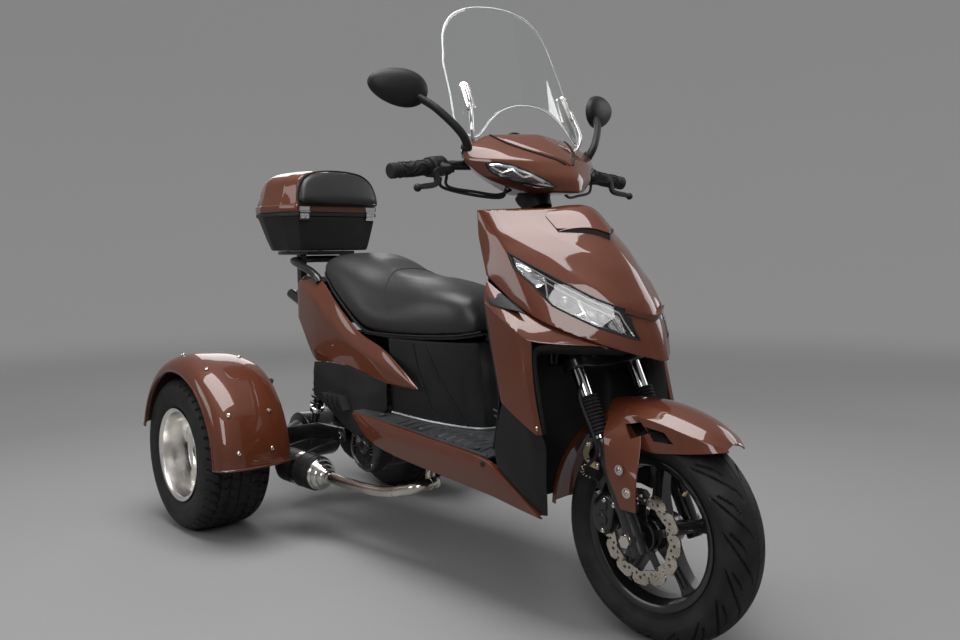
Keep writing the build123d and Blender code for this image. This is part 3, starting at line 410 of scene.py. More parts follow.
def lathe(name, profile, centre, segments=96, closed=True):
    """A profile of (radius, offset) turned about the Y axis through a centre."""
    rows = [[(centre[0] + r * cos(a), centre[1] + offset, centre[2] + r * sin(a)) for r, offset in profile]
            for a in around(segments)]
    return grid(name, rows + rows[:1], closed)


def smooth_path(points, steps=8):
    """Points along a Catmull-Rom curve through the given ones."""
    points = [Vector(p) for p in points]
    ends = [2 * points[0] - points[1]] + points + [2 * points[-1] - points[-2]]
    path = []
    for i in range(1, len(ends) - 2):
        p0, p1, p2, p3 = ends[i - 1:i + 3]
        for k in range(steps):
            t = k / steps
            path.append(0.5 * (2 * p1 + (p2 - p0) * t + (2 * p0 - 5 * p1 + 4 * p2 - p3) * t * t
                               + (3 * p1 - p0 - 3 * p2 + p3) * t ** 3))
    return path + [points[-1]]


def sweep(name, path, section, closed=False, up=(0, 0, 1), scale=None):
    """A section of (side, up) points carried along a path, both in millimetres."""
    path = [Vector(p) for p in path]
    rows = []
    count = len(path)
    side_before = None
    for i, point in enumerate(path):
        if closed:
            ahead, behind = path[(i + 1) % count], path[i - 1]
        else:
            ahead, behind = path[min(i + 1, count - 1)], path[max(i - 1, 0)]
        along = (ahead - behind).normalized()
        if side_before is None:
            side = along.cross(Vector(up))
            if side.length < 1e-3:
                side = along.cross(Vector((1, 0, 0)))
        else:
            side = side_before - along * side_before.dot(along)
        side.normalize()
        side_before = side
        rise = side.cross(along).normalized()
        grow = scale(i / (count - 1)) if scale else 1
        rows.append([point + side * a * grow + rise * b * grow for a, b in section])
    return grid(name, rows + rows[:1] if closed else rows, True, not closed)


def ring(radius, sides=14):
    """The section of a round bar."""
    return [(radius * cos(a), radius * sin(a)) for a in around(sides)]


def strip(wide, tall):
    """The section of a flat bar, from its half width and half height."""
    return [(-wide, -tall), (wide, -tall), (wide, tall), (-wide, tall)]


def tube(name, points, radius, sides=14, closed=False, scale=None):
    """A round bar along a path."""
    return sweep(name, points, ring(radius, sides), closed=closed, scale=scale)


def turned_on(name, profile, start, direction, segments=32):
    """A profile of (distance along, radius) turned about a line."""
    direction = Vector(direction).normalized()
    side = direction.orthogonal().normalized()
    other = direction.cross(side)
    rows = [[Vector(start) + direction * along + (side * cos(a) + other * sin(a)) * radius
             for a in around(segments)] for along, radius in profile]
    return grid(name, rows, True, True)


def bolt(place, direction, radius=6, height=4, socket=True):
    """A button head with a recess."""
    profile = [(-1, radius), (height * 0.35, radius), (height * 0.8, radius * 0.8), (height, radius * 0.5)]
    if socket:
        profile += [(height, radius * 0.42), (height * 0.45, radius * 0.36)]
    return turned_on("bolt", profile, place, direction, 20)


def hex_bolt(place, direction, radius=8, height=6):
    """A hexagonal head on a washer face."""
    profile = [(0, radius * 1.25), (1.2, radius * 1.25), (1.2, radius), (height, radius),
               (height + 1, radius * 0.85)]
    return turned_on("hex_bolt", profile, place, direction, 6)


def skin_tree(obj):
    """A piece's surface, ready for finding points on it."""
    bm = bmesh.new()
    bm.from_mesh(obj.data)
    tree = BVHTree.FromBMesh(bm)
    bm.free()
    return tree


def top_of(tree, x, y, missing=None, start=HOOD_RAY):
    """The height of a surface at X and Y, seen from above."""
    hit, _, _, _ = tree.ray_cast(Vector((x * MM, y * MM, start)), Vector((0, 0, -1)))
    return hit.z / MM if hit else missing


def on_side(tree, x, z, depth=0.0):
    """The point of a surface seen from the right at X and Z, moved in by depth."""
    hit, normal, _, _ = tree.ray_cast(Vector((x * MM, -1.0, z * MM)), Vector((0, 1, 0)))
    if hit is None:
        return None
    if normal.y > 0:
        normal = -normal
    return hit / MM - normal * depth


def along_side(tree, outline, depth=0.0, step=8.0):
    """Points every few millimetres along an outline of (x, z), laid on a surface."""
    points = []
    for (xa, za), (xb, zb) in zip(outline, outline[1:]):
        count = max(int(hypot(xb - xa, zb - za) / step), 1)
        for i in range(count):
            t = i / count
            point = on_side(tree, xa + (xb - xa) * t, za + (zb - za) * t, depth)
            if point is not None:
                points.append(point)
    last = on_side(tree, *outline[-1], depth)
    return points + ([last] if last is not None else [])


def at_height(table, z):
    """A half section at a height, between the ones in a table."""
    heights = sorted(table)
    z = min(max(z, heights[0]), heights[-1])
    for low, high in zip(heights, heights[1:]):
        if z <= high:
            t = (z - low) / (high - low)
            return [tuple(a + (b - a) * t for a, b in zip(p, q)) for p, q in zip(table[low], table[high])]


def bulged(half, bulges):
    """Extra points between the corners of a half section, pushed outward."""
    points = [half[0]]
    for (xa, ya), (xb, yb), push in zip(half, half[1:], bulges):
        length = hypot(xb - xa, yb - ya)
        out = ((ya - yb) / length, (xb - xa) / length)
        for t in (0.33, 0.67):
            points.append((xa + (xb - xa) * t + out[0] * push, ya + (yb - ya) * t + out[1] * push))
        points.append((xb, yb))
    return points


def plan_row(half, z, bulges):
    """A full section at a height from its half, with bulges between corners."""
    return whole([(x, y, z) for x, y in bulged(half, bulges)])


def fan(name, loops, centre):
    """A surface through loops of equal count, closed to a point."""
    count = len(loops[0])
    points = [p for loop in loops for p in loop] + [centre]
    faces = grid_faces(len(loops), count, True)
    base = (len(loops) - 1) * count
    faces += [(base + i, base + (i + 1) % count, len(points) - 1) for i in range(count)]
    return link(name, mesh_from(name, points, faces))


def dish(name, tree, outline, steps):
    """A pan set into a surface: each step is a scale of the outline in X and Z and a depth."""
    cx = sum(x for x, _ in outline) / len(outline)
    cz = sum(z for _, z in outline) / len(outline)
    loops = []
    for scale, depth in steps:
        loop = []
        for (xa, za), (xb, zb) in zip(outline, outline[1:] + outline[:1]):
            count = max(int(hypot(xb - xa, zb - za) / 8), 1)
            for i in range(count):
                x, z = xa + (xb - xa) * i / count, za + (zb - za) * i / count
                point = on_side(tree, cx + (x - cx) * scale, cz + (z - cz) * scale, depth)
                if point is None:
                    point = loop[-1] if loop else Vector((x, -60, z))
                loop.append(point)
        loops.append(loop)
    return fan(name, loops, on_side(tree, cx, cz, steps[-1][1]))


def ribbon(name, tree, line, depth, wide=5.0, tall=3.0):
    """A bar laid along a line of (x, z) on a surface."""
    return sweep(name, along_side(tree, line, depth, 6.0), strip(wide / 2, tall / 2))


# ---------------------------------------------------------------- front body
COWL = {
    590: [(458, 200), (603, 181), (703, 50), (718, 26), (731, 0)],
    655: [(436, 206), (568, 188), (684, 64), (698, 36), (710, 0)],
    720: [(412, 206), (524, 192), (654, 72), (664, 42), (678, 0)],
    755: [(399, 203), (499, 192), (611, 97), (637, 48), (654, 0)],
    790: [(386, 200), (474, 192), (559, 120), (611, 52), (630, 0)],
    826: [(368, 194), (449, 189), (507, 142), (567, 73), (598, 0)],
    862: [(350, 188), (408, 187), (432, 178), (503, 104), (566, 0)],
    897: [(341, 182), (380, 176), (404, 159), (436, 128), (538, 0)],
    922: [(334, 178), (358, 168), (374, 156), (408, 123), (518, 0)],
}
HOOD_TOP = 870
COWL_EDGE = [(250, 861), (396, 773), (488, 712), (562, 676), (659, 629), (800, 565)]
LAMP = [(447, 826), (538, 776), (623, 727), (668, 706), (697, 642), (631, 672), (560, 713), (514, 757),
        (468, 794)]


def cowl_surface():
    """The smooth outer skin of the front cowl with its flat top."""
    rows = []
    for scale, lift in ((0.0, 4.0), (0.5, 3.2), (0.9, 1.0)):
        rows.append([(x, y * scale, 922 + lift) for x, y, _ in plan_row(COWL[922], 922, (0, 1, 1, 4))])
    for z in (920, 908, 897, 880, 862, 844, 826, 808, 790, 772, 755, 737, 720, 704, 688, 655, 622, 590):
        rows.append(plan_row(at_height(COWL, z), z, (1.5, 1.5, 1.0, 3)))
    rows[0] = [(min(max(x, 334), 516), y, z) for x, y, z in rows[0]]
    return cage("front_cowl_surface", rows, {3: 0.25, 6: 0.85, 9: 0.6, 15: 0.6, 18: 0.85, 21: 0.25},
                {3: 0.55}, levels=2)


def front_cowl():
    """Painted cowl with its headlamps set in on both sides."""
    surface = cowl_surface()
    outward_normals(surface, (430, 0, 760))
    tree = skin_tree(surface)
    shell = link("front_cowl_paint", surface.data.copy())
    thicken(shell, COWL_WALL, round_edge=0)
    low = prism("low", COWL_EDGE + [(800, 300), (250, 300)], -320, 320)
    carve(shell, low)
    slot_cut = prism("slot", [(150, -50), (404, -50), (404, 50), (150, 50)], 880, 960, axis="z")
    carve(shell, slot_cut)
    lens_stock = link("lens_stock", shell.data.copy())
    zone = prism("zone", LAMP, -300, -36)
    left_zone = mirrored(zone)
    carve(shell, zone, keep=True)
    carve(shell, left_zone, keep=True)
    soften(shell, 1.0, 2, 38)
    dress(shell, PAINT, "chassis", ["front_cowl"], angle=28)
    zone = join("zones", [zone, left_zone])
    carve(lens_stock, zone, "INTERSECT")
    dress(lens_stock, LENS, "chassis", ["headlamps"], angle=28)

    gasket = both(tube("gasket", along_side(tree, LAMP + LAMP[:1], 1.5, 7.0), 2.6, 10))
    dress(gasket, RUBBER, "chassis")
    pan = dish("lamp_pan", tree, LAMP, ((1.0, 3), (0.97, 22), (0.9, 30), (0.5, 34)))
    dress(both(pan), SMOKE, "chassis")
    wing = [(456, 817), (492, 797), (528, 775), (536, 762), (522, 752), (478, 790)]
    reflector = dish("lamp_reflector", tree, wing, ((1.0, 7), (0.93, 15), (0.6, 19)))
    dress(both(reflector), MIRROR, "chassis")
    bars = [
        ribbon("bar_top", tree, [(462, 816), (538, 771), (623, 722), (663, 700), (690, 652)], 6, 4, 4),
        ribbon("bar_second", tree, [(500, 785), (540, 762), (620, 713), (652, 694), (676, 655)], 12, 3, 3),
        ribbon("bar_guide_rear", tree, [(533, 763), (548, 726), (566, 714), (602, 694), (612, 700),
                                        (596, 728)], 9, 3.5, 4),
        ribbon("bar_guide_front", tree, [(588, 737), (604, 712), (622, 684), (640, 673), (678, 654)], 9,
               3.5, 4),
        ribbon("bar_low", tree, [(505, 765), (560, 718), (631, 677), (690, 649)], 7, 3.5, 3),
    ]
    dress(both(join("lamp_bars", bars)), MIRROR, "chassis")
    bulbs = []
    for x, z, radius in ((574, 727, 15), (640, 691, 12)):
        seat = on_side(tree, x, z, 20)
        out = (on_side(tree, x, z, 0) - seat).normalized()
        bulbs.append(turned_on("bulb", [(-4, radius + 5), (4, radius + 5), (6, radius + 2), (2, radius),
                                        (6, radius * 0.93),
                                        (10, radius * 0.7), (12, radius * 0.4), (12.6, radius * 0.1)], seat,
                               out, 36))
    dress(both(join("projectors", bulbs)), GLOSS, "chassis")

    hood_pieces(tree)
    bpy.data.objects.remove(surface)


def hood_pieces(tree):
    """Raised scoop over a dark mouth, and the pointed lip of the hood."""
    rows, mouth = [], []
    for k in (-1, -0.93, -0.75, -0.5, -0.25, 0, 0.25, 0.5, 0.75, 0.93, 1):
        y, front = 90 * k, 574 - 68 * abs(k)
        rear = 424 + 40 * abs(k)
        row = []
        for s in (0.0, 0.1, 0.35, 0.6, 0.82, 0.95, 1.0):
            x = rear + (front - rear) * s
            lift = 1.0 + 12 * min(s * 1.25, 1) * (1 - abs(k) ** 3) + 2.0 * (1 - abs(k)) * s
            row.append((x, y, top_of(tree, x - 2, y, HOOD_TOP) + lift))
        rows.append(row)
        base, high = top_of(tree, front - 14, y, HOOD_TOP), row[-1][2]
        mouth.append([(front - 18, y, base - 3), (front - 1, y, top_of(tree, front - 1, y, HOOD_TOP) - 2),
                      (front - 2, y, max(high - 4, base - 2)),
                      (front - 18, y, max(high - 2, base - 1))])
    scoop = panel_of("scoop", rows, (480, 0, 700), 5, {5: 0.8}, {0: 0.6, 10: 0.6, 5: 0.45})
    dress(scoop, PAINT, "chassis", angle=30)
    dark = grid("scoop_mouth", mouth, closed=True, caps=True)
    dress(dark, BLACK, "chassis")

    path = [on_face(tree, y, z, -1.0) for y, z in ((-58, 704), (-40, 697), (-20, 691), (0, 686), (20, 691),
                                                   (40, 697), (58, 704))]
    section = [(-3, -9), (7, -7), (7.5, 1), (1, 8), (-3, 9)]
    edge = sweep("hood_lip", smooth_path(path, 4), section, up=(1, 0, 0.3))
    dress(edge, PAINT, "chassis", angle=30)


def on_face(tree, y, z, depth=0.0, start=1.2, way=-1):
    """The point of a surface met along X at Y and Z, moved in by depth."""
    hit, normal, _, _ = tree.ray_cast(Vector((start, y * MM, z * MM)), Vector((way, 0, 0)))
    if normal.x * way > 0:
        normal = -normal
    return hit / MM - normal * depth


def leg_shields():
    """Folded side panels: a shelf under the cowl over a rear and a front face."""
    outer = [(417, 230, 719), (470, 233, 690), (521, 234, 662), (535, 226, 650), (549, 216, 639),
             (600, 160, 634), (652, 104, 630)]
    inner = [(400, 208, 764), (446, 203, 736), (490, 196, 706), (515, 189, 694), (545, 180, 680),
             (600, 144, 653), (656, 98, 627)]
    middle = [tuple((a + b) / 2 + (0, 2, 1)[i] for i, (a, b) in enumerate(zip(p, q)))
              for p, q in zip(outer, inner)]
    shelf = panel_of("shelf", [inner, middle, outer], (430, 0, 600), COWL_WALL, {2: 0.5}, levels=3)
    rows = []
    bottom = [(473, 234, 507), (525, 234.5, 478), (577, 231, 451), (579, 224, 450), (581, 216, 449)]
    for t in (0, 0.06, 0.2, 0.4, 0.6, 0.8, 0.94, 1):
        row = []
        for k, (top, low) in enumerate(zip(outer, bottom)):
            point = [a + (b - a) * t for a, b in zip(top, low)]
            if k == 1:
                point[1] += 1.2
            if k in (3, 4):
                point[0] -= 9 * sin(pi * t) * (1 if k == 4 else 0.5)
            row.append(tuple(point))
        rows.append(row)
    panel = panel_of("panel", rows, (430, 0, 600), COWL_WALL, {2: 0.9})
    dress(both(join("leg_shield_paint", [shelf, panel])), PAINT, "chassis", ["leg_shield"], angle=24)
    bolts = both(join("shield_bolts", [bolt((572, 226, 462), (0.3, 1, 0.1), 5.5, 3.5)]))
    dress(bolts, STEEL, "chassis")
    vent = [[(400, 209, 762), (417, 229, 726), (440, 229, 712)], [(402, 208, 757), (440, 220, 722),
                                                                  (478, 222, 706)],
            [(444, 202, 738), (480, 208, 718), (508, 212, 703)], [(486, 197, 712), (505, 203, 706),
                                                                  (522, 206, 697)]]
    wedge = panel_of("vent_wedge", vent, (430, 0, 700), TRIM_WALL, round_edge=0.6)
    dress(both(wedge), DARK, "chassis")


def lower_side():
    """Dark lower covers beside the wheel well and painted sills below the floor."""
    outline = {
        508: [(474, 231), (480, 231.5), (486, 231), (490, 230)],
        470: [(456, 226), (506, 230), (545, 229), (556, 226)],
        440: [(446, 223), (506, 225), (553, 223), (584, 209)],
        392: [(424, 213), (492, 215), (548, 212), (576, 200)],
        350: [(432, 209), (480, 212), (535, 205), (566, 192)],
        300: [(488, 200), (512, 199), (540, 193), (560, 183)],
        266: [(534, 186), (540, 185), (549, 182), (556, 178)],
    }
    rows = [[(x, y, z) for x, y in points] for z, points in outline.items()]
    cover = panel_of("lower_cover", rows, (430, 0, 380), COWL_WALL, {2: 0.5}, levels=3)
    dress(both(cover), DARK, "chassis", ["lower_covers"], angle=30)

    rows = []
    for x, top, low, crest in ((-140, (216, 401), (216, 392), 216), (-100, (217, 399), (219, 362), 218),
                               (-47, (217, 395), (220, 326), 222), (120, (217, 385), (217, 309), 222),
                               (290, (217, 375), (213, 296), 221), (395, (216.5, 369), (209, 287), 219),
                               (420, (216, 358), (206, 283), 217), (480, (206, 315), (198, 270), 205),
                               (545, (194, 266), (191, 260), 193)):
        mid = (top[1] + low[1]) / 2
        rows.append([(x, top[0] - 10, top[1] + 0.5), (x, top[0], top[1]), (x, top[0] + 0.6, top[1] - 3),
                     (x, crest, mid + (top[1] - mid) * 0.35), (x, low[0], low[1]),
                     (x, low[0] - 8, low[1] - 3)])
    sill = panel_of("sill", rows, (200, 0, 340), PANEL_WALL, {1: 0.5, 2: 0.3, 3: 0.35, 4: 0.7},
                    round_edge=0.7)
    dress(both(sill), PAINT, "chassis", ["sills"], angle=26)
    plug = both(bolt((392, 219, 356), (0, 1, 0.1), 6, 1.2, socket=True))
    dress(plug, RUBBER, "chassis")


def wheel_well():
    """Dark channel behind the front wheel with a broad chamfered bezel."""
    levels = {
        268: [(422, 150), (538, 175)], 350: [(424, 152), (556, 187)], 440: [(424, 156), (580, 203)],
        520: [(418, 160), (552, 209)], 600: [(411, 165), (547, 207)], 640: [(408, 166), (546, 205)],
        690: [(404, 167), (508, 187)], 740: [(400, 168), (466, 184)],
    }
    rows = []
    for z, (rear, front) in levels.items():
        slope = (front[1] - rear[1]) / (front[0] - rear[0])
        half = [(rear[0] + 1, 0), (rear[0] + 1, rear[1] - 14), (rear[0] + 6, rear[1] - 1),
                (rear[0] + 34, rear[1] + 34 * slope + 1),
                (front[0] - 30, front[1] - 30 * slope + 1), (front[0] - 3, front[1])]
        rows.append([(x, -y, z) for x, y in reversed(half)] + [(x, y, z) for x, y in half[1:]])
    well = panel_of("well", rows, (430, 0, 500), 2, round_edge=0, outward=True)
    low = prism("low", [(x, z - 3) for x, z in COWL_EDGE] + [(800, 1100), (250, 1100)], -300, 300)
    carve(well, low)
    stem = prism("stem", [(300, -34), (520, -34), (520, 34), (300, 34)], 560, 900, axis="z")
    carve(well, stem)
    dress(well, BLACK, "chassis", ["wheel_well"], angle=30)
    bezel_rows = []
    for x, y, z, middle, deep in ((576, 208, 448, 20, 36), (567, 211, 500, 22, 36), (556, 213, 560, 24, 34),
                                  (549, 213, 612, 26, 32), (551, 208, 630, 24, 30), (566, 186, 634, 20, 24),
                                  (600, 146, 631, 18, 20), (640, 100, 626, 14, 16), (668, 60, 620, 10, 10)):
        drop = max(0, min(1, (z - 600) / 34)) * 22
        bezel_rows.append([(x, y, z), (x - 1, y - 10, z - drop * 0.5), (x - 14, y - middle, z - drop),
                           (x - 30, y - deep, z - drop * 1.1)])
    bezel = panel_of("bezel", bezel_rows, (300, 0, 500), TRIM_WALL, {1: 0.6, 2: 0.6}, round_edge=0.6)
    dress(both(bezel), DARK, "chassis", angle=30)


front_cowl()
leg_shields()
lower_side()
wheel_well()


# ---------------------------------------------------------------- steering frame
STEER_RAKE = radians(26)
STEER_SIN, STEER_COS = sin(STEER_RAKE), cos(STEER_RAKE)
STEER_FOOT = Vector((690.24, 0, 221.97))


def steered(x, y, z):
    """A place given across, to the left and up along the steering axis."""
    return STEER_FOOT + Vector((x * STEER_COS - z * STEER_SIN, y, x * STEER_SIN + z * STEER_COS))


def steered_tube(name, x, y, stations, segments=48):
    """A turned piece along the axis: stations are (height, radius)."""
    return turned_on(name, stations, steered(x, y, 0), steered(0, 0, 1) - steered(0, 0, 0), segments)


# ---------------------------------------------------------------- wheels
FRONT_HUB = (719, 0, 236)
REAR_AXLE = (-711, 0, 229.5)
REAR_HUBS = {"left": (-711, 370, 229.5), "right": (-711, -370, 229.5)}
FRONT_TYRE_R, REAR_TYRE_R, BEAD_R = 236, 229.5, 190
FRONT_SIPES, REAR_BLOCKS, SPOKES = 18, 44, 5
FIFTH = 360 / SPOKES
FRONT_PHASE, REAR_PHASE = 18, 90
DISC_WAVES, DISC_STEPS = 12, 288


def profile_at(profile, t):
    """A point and outward normal at a share of a profile's length."""
    lengths = [hypot(b[0] - a[0], b[1] - a[1]) for a, b in zip(profile, profile[1:])]
    goal = t * sum(lengths)
    for (a, b), length in zip(zip(profile, profile[1:]), lengths):
        if goal <= length or (a, b) == (profile[-2], profile[-1]):
            share = min(goal / length, 1)
            point = (a[0] + (b[0] - a[0]) * share, a[1] + (b[1] - a[1]) * share)
            normal = (-(b[1] - a[1]) / length, (b[0] - a[0]) / length)
            return point, normal
        goal -= length


def rounded_profile(points, steps=6):
    """A smooth curve through (radius, offset) points."""
    return [(p.x, p.y) for p in smooth_path([(r, w, 0) for r, w in points], steps)]


def tyre(name, centre, half, groove, turn_steps, across_steps, limit):
    """A tyre as a grid whose tread sinks by groove(angle, arc length from the middle, radius)."""
    full = [(r, -w) for r, w in half] + [(r, w) for r, w in reversed(half[:-1])]
    curve = rounded_profile(full, 6)
    total = sum(hypot(b[0] - a[0], b[1] - a[1]) for a, b in zip(curve, curve[1:]))
    row = []
    for k in range(across_steps + 1):
        t = k / across_steps
        row.append((profile_at(curve, t), (t - 0.5) * total))
    points, faces = [], []
    count = len(row)
    for angle in around(turn_steps):
        for ((radius, offset), normal), arc in row:
            sink = groove(angle, arc, radius)
            outward = normal if normal[0] * (radius
                                             - BEAD_R) + normal[1] * offset > 0 else (-normal[0],
                                                                                      -normal[1])
            r, w = min(radius, limit) - outward[0] * sink, offset - outward[1] * sink
            points.append((centre[0] + r * cos(angle), centre[1] + w, centre[2] + r * sin(angle)))
    for i in range(turn_steps):
        j = (i + 1) % turn_steps
        for k in range(count - 1):
            faces.append((i * count + k, i * count + k + 1, j * count + k + 1, j * count + k))
    return link(name, mesh_from(name, points, faces))


def step_edge(value, edge, soft):
    """0 below an edge and 1 above it, with a soft step."""
    t = min(max((value - edge) / soft + 0.5, 0), 1)
    return t * t * (3 - 2 * t)


def front_groove(angle, arc, radius):
    """Long hooked sipes that sweep back from near the middle to the shoulder."""
    depth = 0.0
    reach = abs(arc)
    pitch = 2 * pi / FRONT_SIPES
    half_turn = 0.0 if arc > 0 else 0.5
    for start, stop, shift, wide in ((10, 74, half_turn, 2.5), (30, 60, 0.28 + half_turn, 2.1)):
        if not start - 2 < reach < stop + 2:
            continue
        bend = 0.0052 * (reach - start) + 0.10 * ((reach - start) / 64) ** 3
        if reach < start + 10:
            bend -= 0.0011 * (start + 10 - reach) ** 1.6
        phase = ((angle - bend) / pitch + shift) % 1
        away = min(phase, 1 - phase) * pitch * radius * 0.86
        inside = 1 - step_edge(away, wide, 1.6)
        ends = step_edge(reach, start, 2) * (1 - step_edge(reach, stop, 3))
        depth = max(depth, 4.5 * inside * ends)
    middle = (1 - step_edge(reach, 1.5, 1.4)) * 2.0
    for ring_at in (84, 90):
        depth = max(depth, 0.7 * (1 - step_edge(abs(reach - ring_at), 0.8, 1.0)))
    return max(depth, middle)


def rear_groove(angle, arc, radius):
    """Three grooves around and staggered blocks on both shoulders."""
    reach = abs(arc)
    if reach > 112:
        rib = min(abs(reach - 124), abs(reach - 140))
        return 0.8 * (1 - step_edge(rib, 1.0, 1.2))
    depth = 0.0
    wave = 3.0 * sin(angle * REAR_BLOCKS)
    for centre, wide in ((0, 3.0), (30 + wave * 0.6, 3.4), (62 + wave, 3.4)):
        depth = max(depth, 6.0 * (1 - step_edge(abs(reach - centre), wide, 2.0)))
    band = 0 if reach < 30 else 1 if reach < 62 else 2
    pitch = 2 * pi / REAR_BLOCKS
    shift = (0.0, 0.33, 0.66)[band] + (0.5 if arc < 0 else 0)
    slant = (0.0016, -0.0010, 0.0012)[band] * reach * (1 if arc > 0 else -1)
    phase = ((angle + slant) / pitch + shift) % 1
    away = min(phase, 1 - phase) * pitch * radius
    if 6 < reach < 104:
        depth = max(depth, (3.2, 5.0, 5.5)[band] * (1 - step_edge(away, (1.4, 2.4, 3.2)[band], 1.6)))
    return depth


def tyres():
    """Grooved front tyre and wide blocked rear tyres."""
    half = [(154, 41), (164, 43), (178, 56), (200, 61), (216, 50), (228, 34), (234, 16), (236, 0)]
    front = tyre("front_tread", FRONT_HUB, half, front_groove, 640, 100, FRONT_TYRE_R)
    dress(front, TYRE, "front_wheel", ["front_tyre"], angle=40)
    half = [(129, 89), (139.5, 90), (156.5, 100.5), (191.5, 102.3), (212, 96), (224, 80), (228.6, 52),
            (229.5, 0)]
    for side, hub in REAR_HUBS.items():
        rear = tyre("rear_tread_" + side, hub, half, rear_groove, 468, 108, REAR_TYRE_R)
        dress(rear, TYRE, "rear_wheel_" + side, ["rear_tyre_" + side], angle=40)


def spoke_wheel(name, centre, hub_r, rim_r, phase, blade):
    """Rounded blades from hub to rim: blade gives (share of length, half width, half depth, set)."""
    pieces = []
    for i in range(SPOKES):
        angle = radians(phase + FIFTH * i)
        rows = []
        for share, wide, deep, shift in blade:
            radius = hub_r + (rim_r - hub_r) * share
            middle = Vector((centre[0] + radius * cos(angle), centre[1] + shift,
                             centre[2] + radius * sin(angle)))
            side = Vector((-sin(angle), 0, cos(angle)))
            rows.append([middle + side * a * wide + Vector((0, b * deep, 0)) for a, b in
                         ((-1, -1), (-0.35, -1), (0.35, -1), (1, -1), (1, 1), (0.35, 1), (-0.35, 1),
                          (-1, 1))])
        pieces.append(solid_cage(name, rows, {0: 0.6, 3: 0.6, 4: 0.6, 7: 0.6}))
    return join(name, pieces)


def end_for_end(obj, y):
    """Flip a piece over across a plane of constant Y."""
    obj.data.transform(Matrix.Translation((0, y * MM, 0)) @ Matrix.Scale(-1, 4, (0, 1, 0))
                       @ Matrix.Translation((0, -y * MM, 0)))
    obj.data.flip_normals()


def front_wheel_metal():
    """Black five-spoke wheel with a stepped barrel."""
    hub = FRONT_HUB
    profile = [(163, 46), (160, 46), (152, 43), (147, 41), (142, 20), (139, 16), (139, -16), (142, -20),
               (147, -41),
               (152, -43), (160, -46), (163, -46), (163, -44), (152, -40), (152, 40), (163, 44)]
    barrel = lathe("front_barrel", profile, hub, 144)
    soften(barrel, 0.8, 2, 30)
    dress(barrel, SATIN, "front_wheel", ["front_rim"])
    blade = [(-0.12, 15, 26, 0), (0.06, 14, 25, 0), (0.3, 12, 17, 0), (0.7, 13, 13, 0), (0.92, 17, 14, 0),
             (1.03, 22, 15, 0)]
    spokes = spoke_wheel("front_spokes", hub, 34, 139, FRONT_PHASE, blade)
    dress(spokes, SATIN, "front_wheel", angle=40)
    core = lathe("front_core", [(9, -44), (30, -44), (33, -41), (34, -30), (37, -24), (37, 24), (34, 30),
                                (33, 41), (30, 44), (9, 44)],
                 hub, 64)
    soften(core, 1.2, 2, 30)
    dress(core, SATIN, "front_wheel")
    webs = []
    for i in range(SPOKES):
        angle = radians(FRONT_PHASE + FIFTH * i)
        for lean in (-0.1, 0.1):
            start = Vector(hub) + Vector((cos(angle + lean) * 60, -17, sin(angle + lean) * 60))
            stop = Vector(hub) + Vector((cos(angle + lean * 0.5) * 126, -14, sin(angle + lean * 0.5) * 126))
            webs.append(tube("rib", [start, (start + stop) / 2, stop], 2.2, 8))
    dress(join("spoke_ribs", webs), SATIN, "front_wheel")
    way = Vector((cos(radians(52)), 0, sin(radians(52))))
    stem = turned_on("valve", [(0, 4), (4, 4), (5, 3), (12, 3), (13, 4), (22, 4), (23, 3)],
                     Vector(hub) + way * 139 + Vector((0, -14, 0)), Vector((0, -0.45, 0)) - way, 16)
    dress(stem, GOLD, "front_wheel")


def brake_disc():
    """Waved disc: outline radius and drilled holes follow twelve-fold waves."""
    hub = FRONT_HUB
    outer, inner = [], []
    for angle in around(DISC_STEPS):
        wave = cos(DISC_WAVES * angle)
        outer.append((101.5 - 6.5 * max(0, -wave) ** 1.5, angle))
        inner.append((70 + 3.5 * max(0, wave) ** 1.2, angle))
    rows = [[(hub[0] + r * cos(a), y, hub[2] + r * sin(a)) for r, a in line]
            for y, line in ((-68, outer), (-64, outer), (-64, inner), (-68, inner), (-68, outer))]
    disc = grid("wave_disc", rows, True)
    holes = []
    for i in range(DISC_WAVES):
        for radius, lead, size in ((93, 0.5, 3.4), (86, 0.0, 3.8), (86, 0.5, 3.0), (79, 0.25, 3.2),
                                   (79, 0.75, 3.2)):
            angle = 2 * pi * (i + lead) / DISC_WAVES
            place = (hub[0] + radius * cos(angle), -70, hub[2] + radius * sin(angle))
            holes.append(turned_on("hole", [(0, size), (8, size)], place, (0, 1, 0), 14))
    carve(disc, join("holes", holes))
    soften(disc, 0.5, 1, 40)
    dress(disc, DISC, "front_wheel", ["brake_disc"])
    arms = []
    for i in range(SPOKES):
        angle = radians(FIFTH * i + FRONT_PHASE)
        rows = []
        for radius, wide in ((26, 13), (40, 10), (56, 8), (72, 10), (76, 8)):
            middle = Vector((hub[0] + radius * cos(angle), -62, hub[2] + radius * sin(angle)))
            side = Vector((-sin(angle), 0, cos(angle)))
            rows.append([middle + side * a + Vector((0, b, 0)) for a, b in strip(wide, 2.2)])
        arms.append(solid_cage("arm", rows, {0: 0.7, 1: 0.7, 2: 0.7, 3: 0.7}))
        place = (hub[0] + 71 * cos(angle), -65, hub[2] + 71 * sin(angle))
        arms.append(bolt(place, (0, -1, 0), 5.5, 4.5))
    arms.append(lathe("carrier", [(10, -66), (30, -66), (33, -64), (34, -60), (30, -56), (10, -56)], hub,
                      48))
    dress(join("disc_carrier", arms), SATIN, "front_wheel")


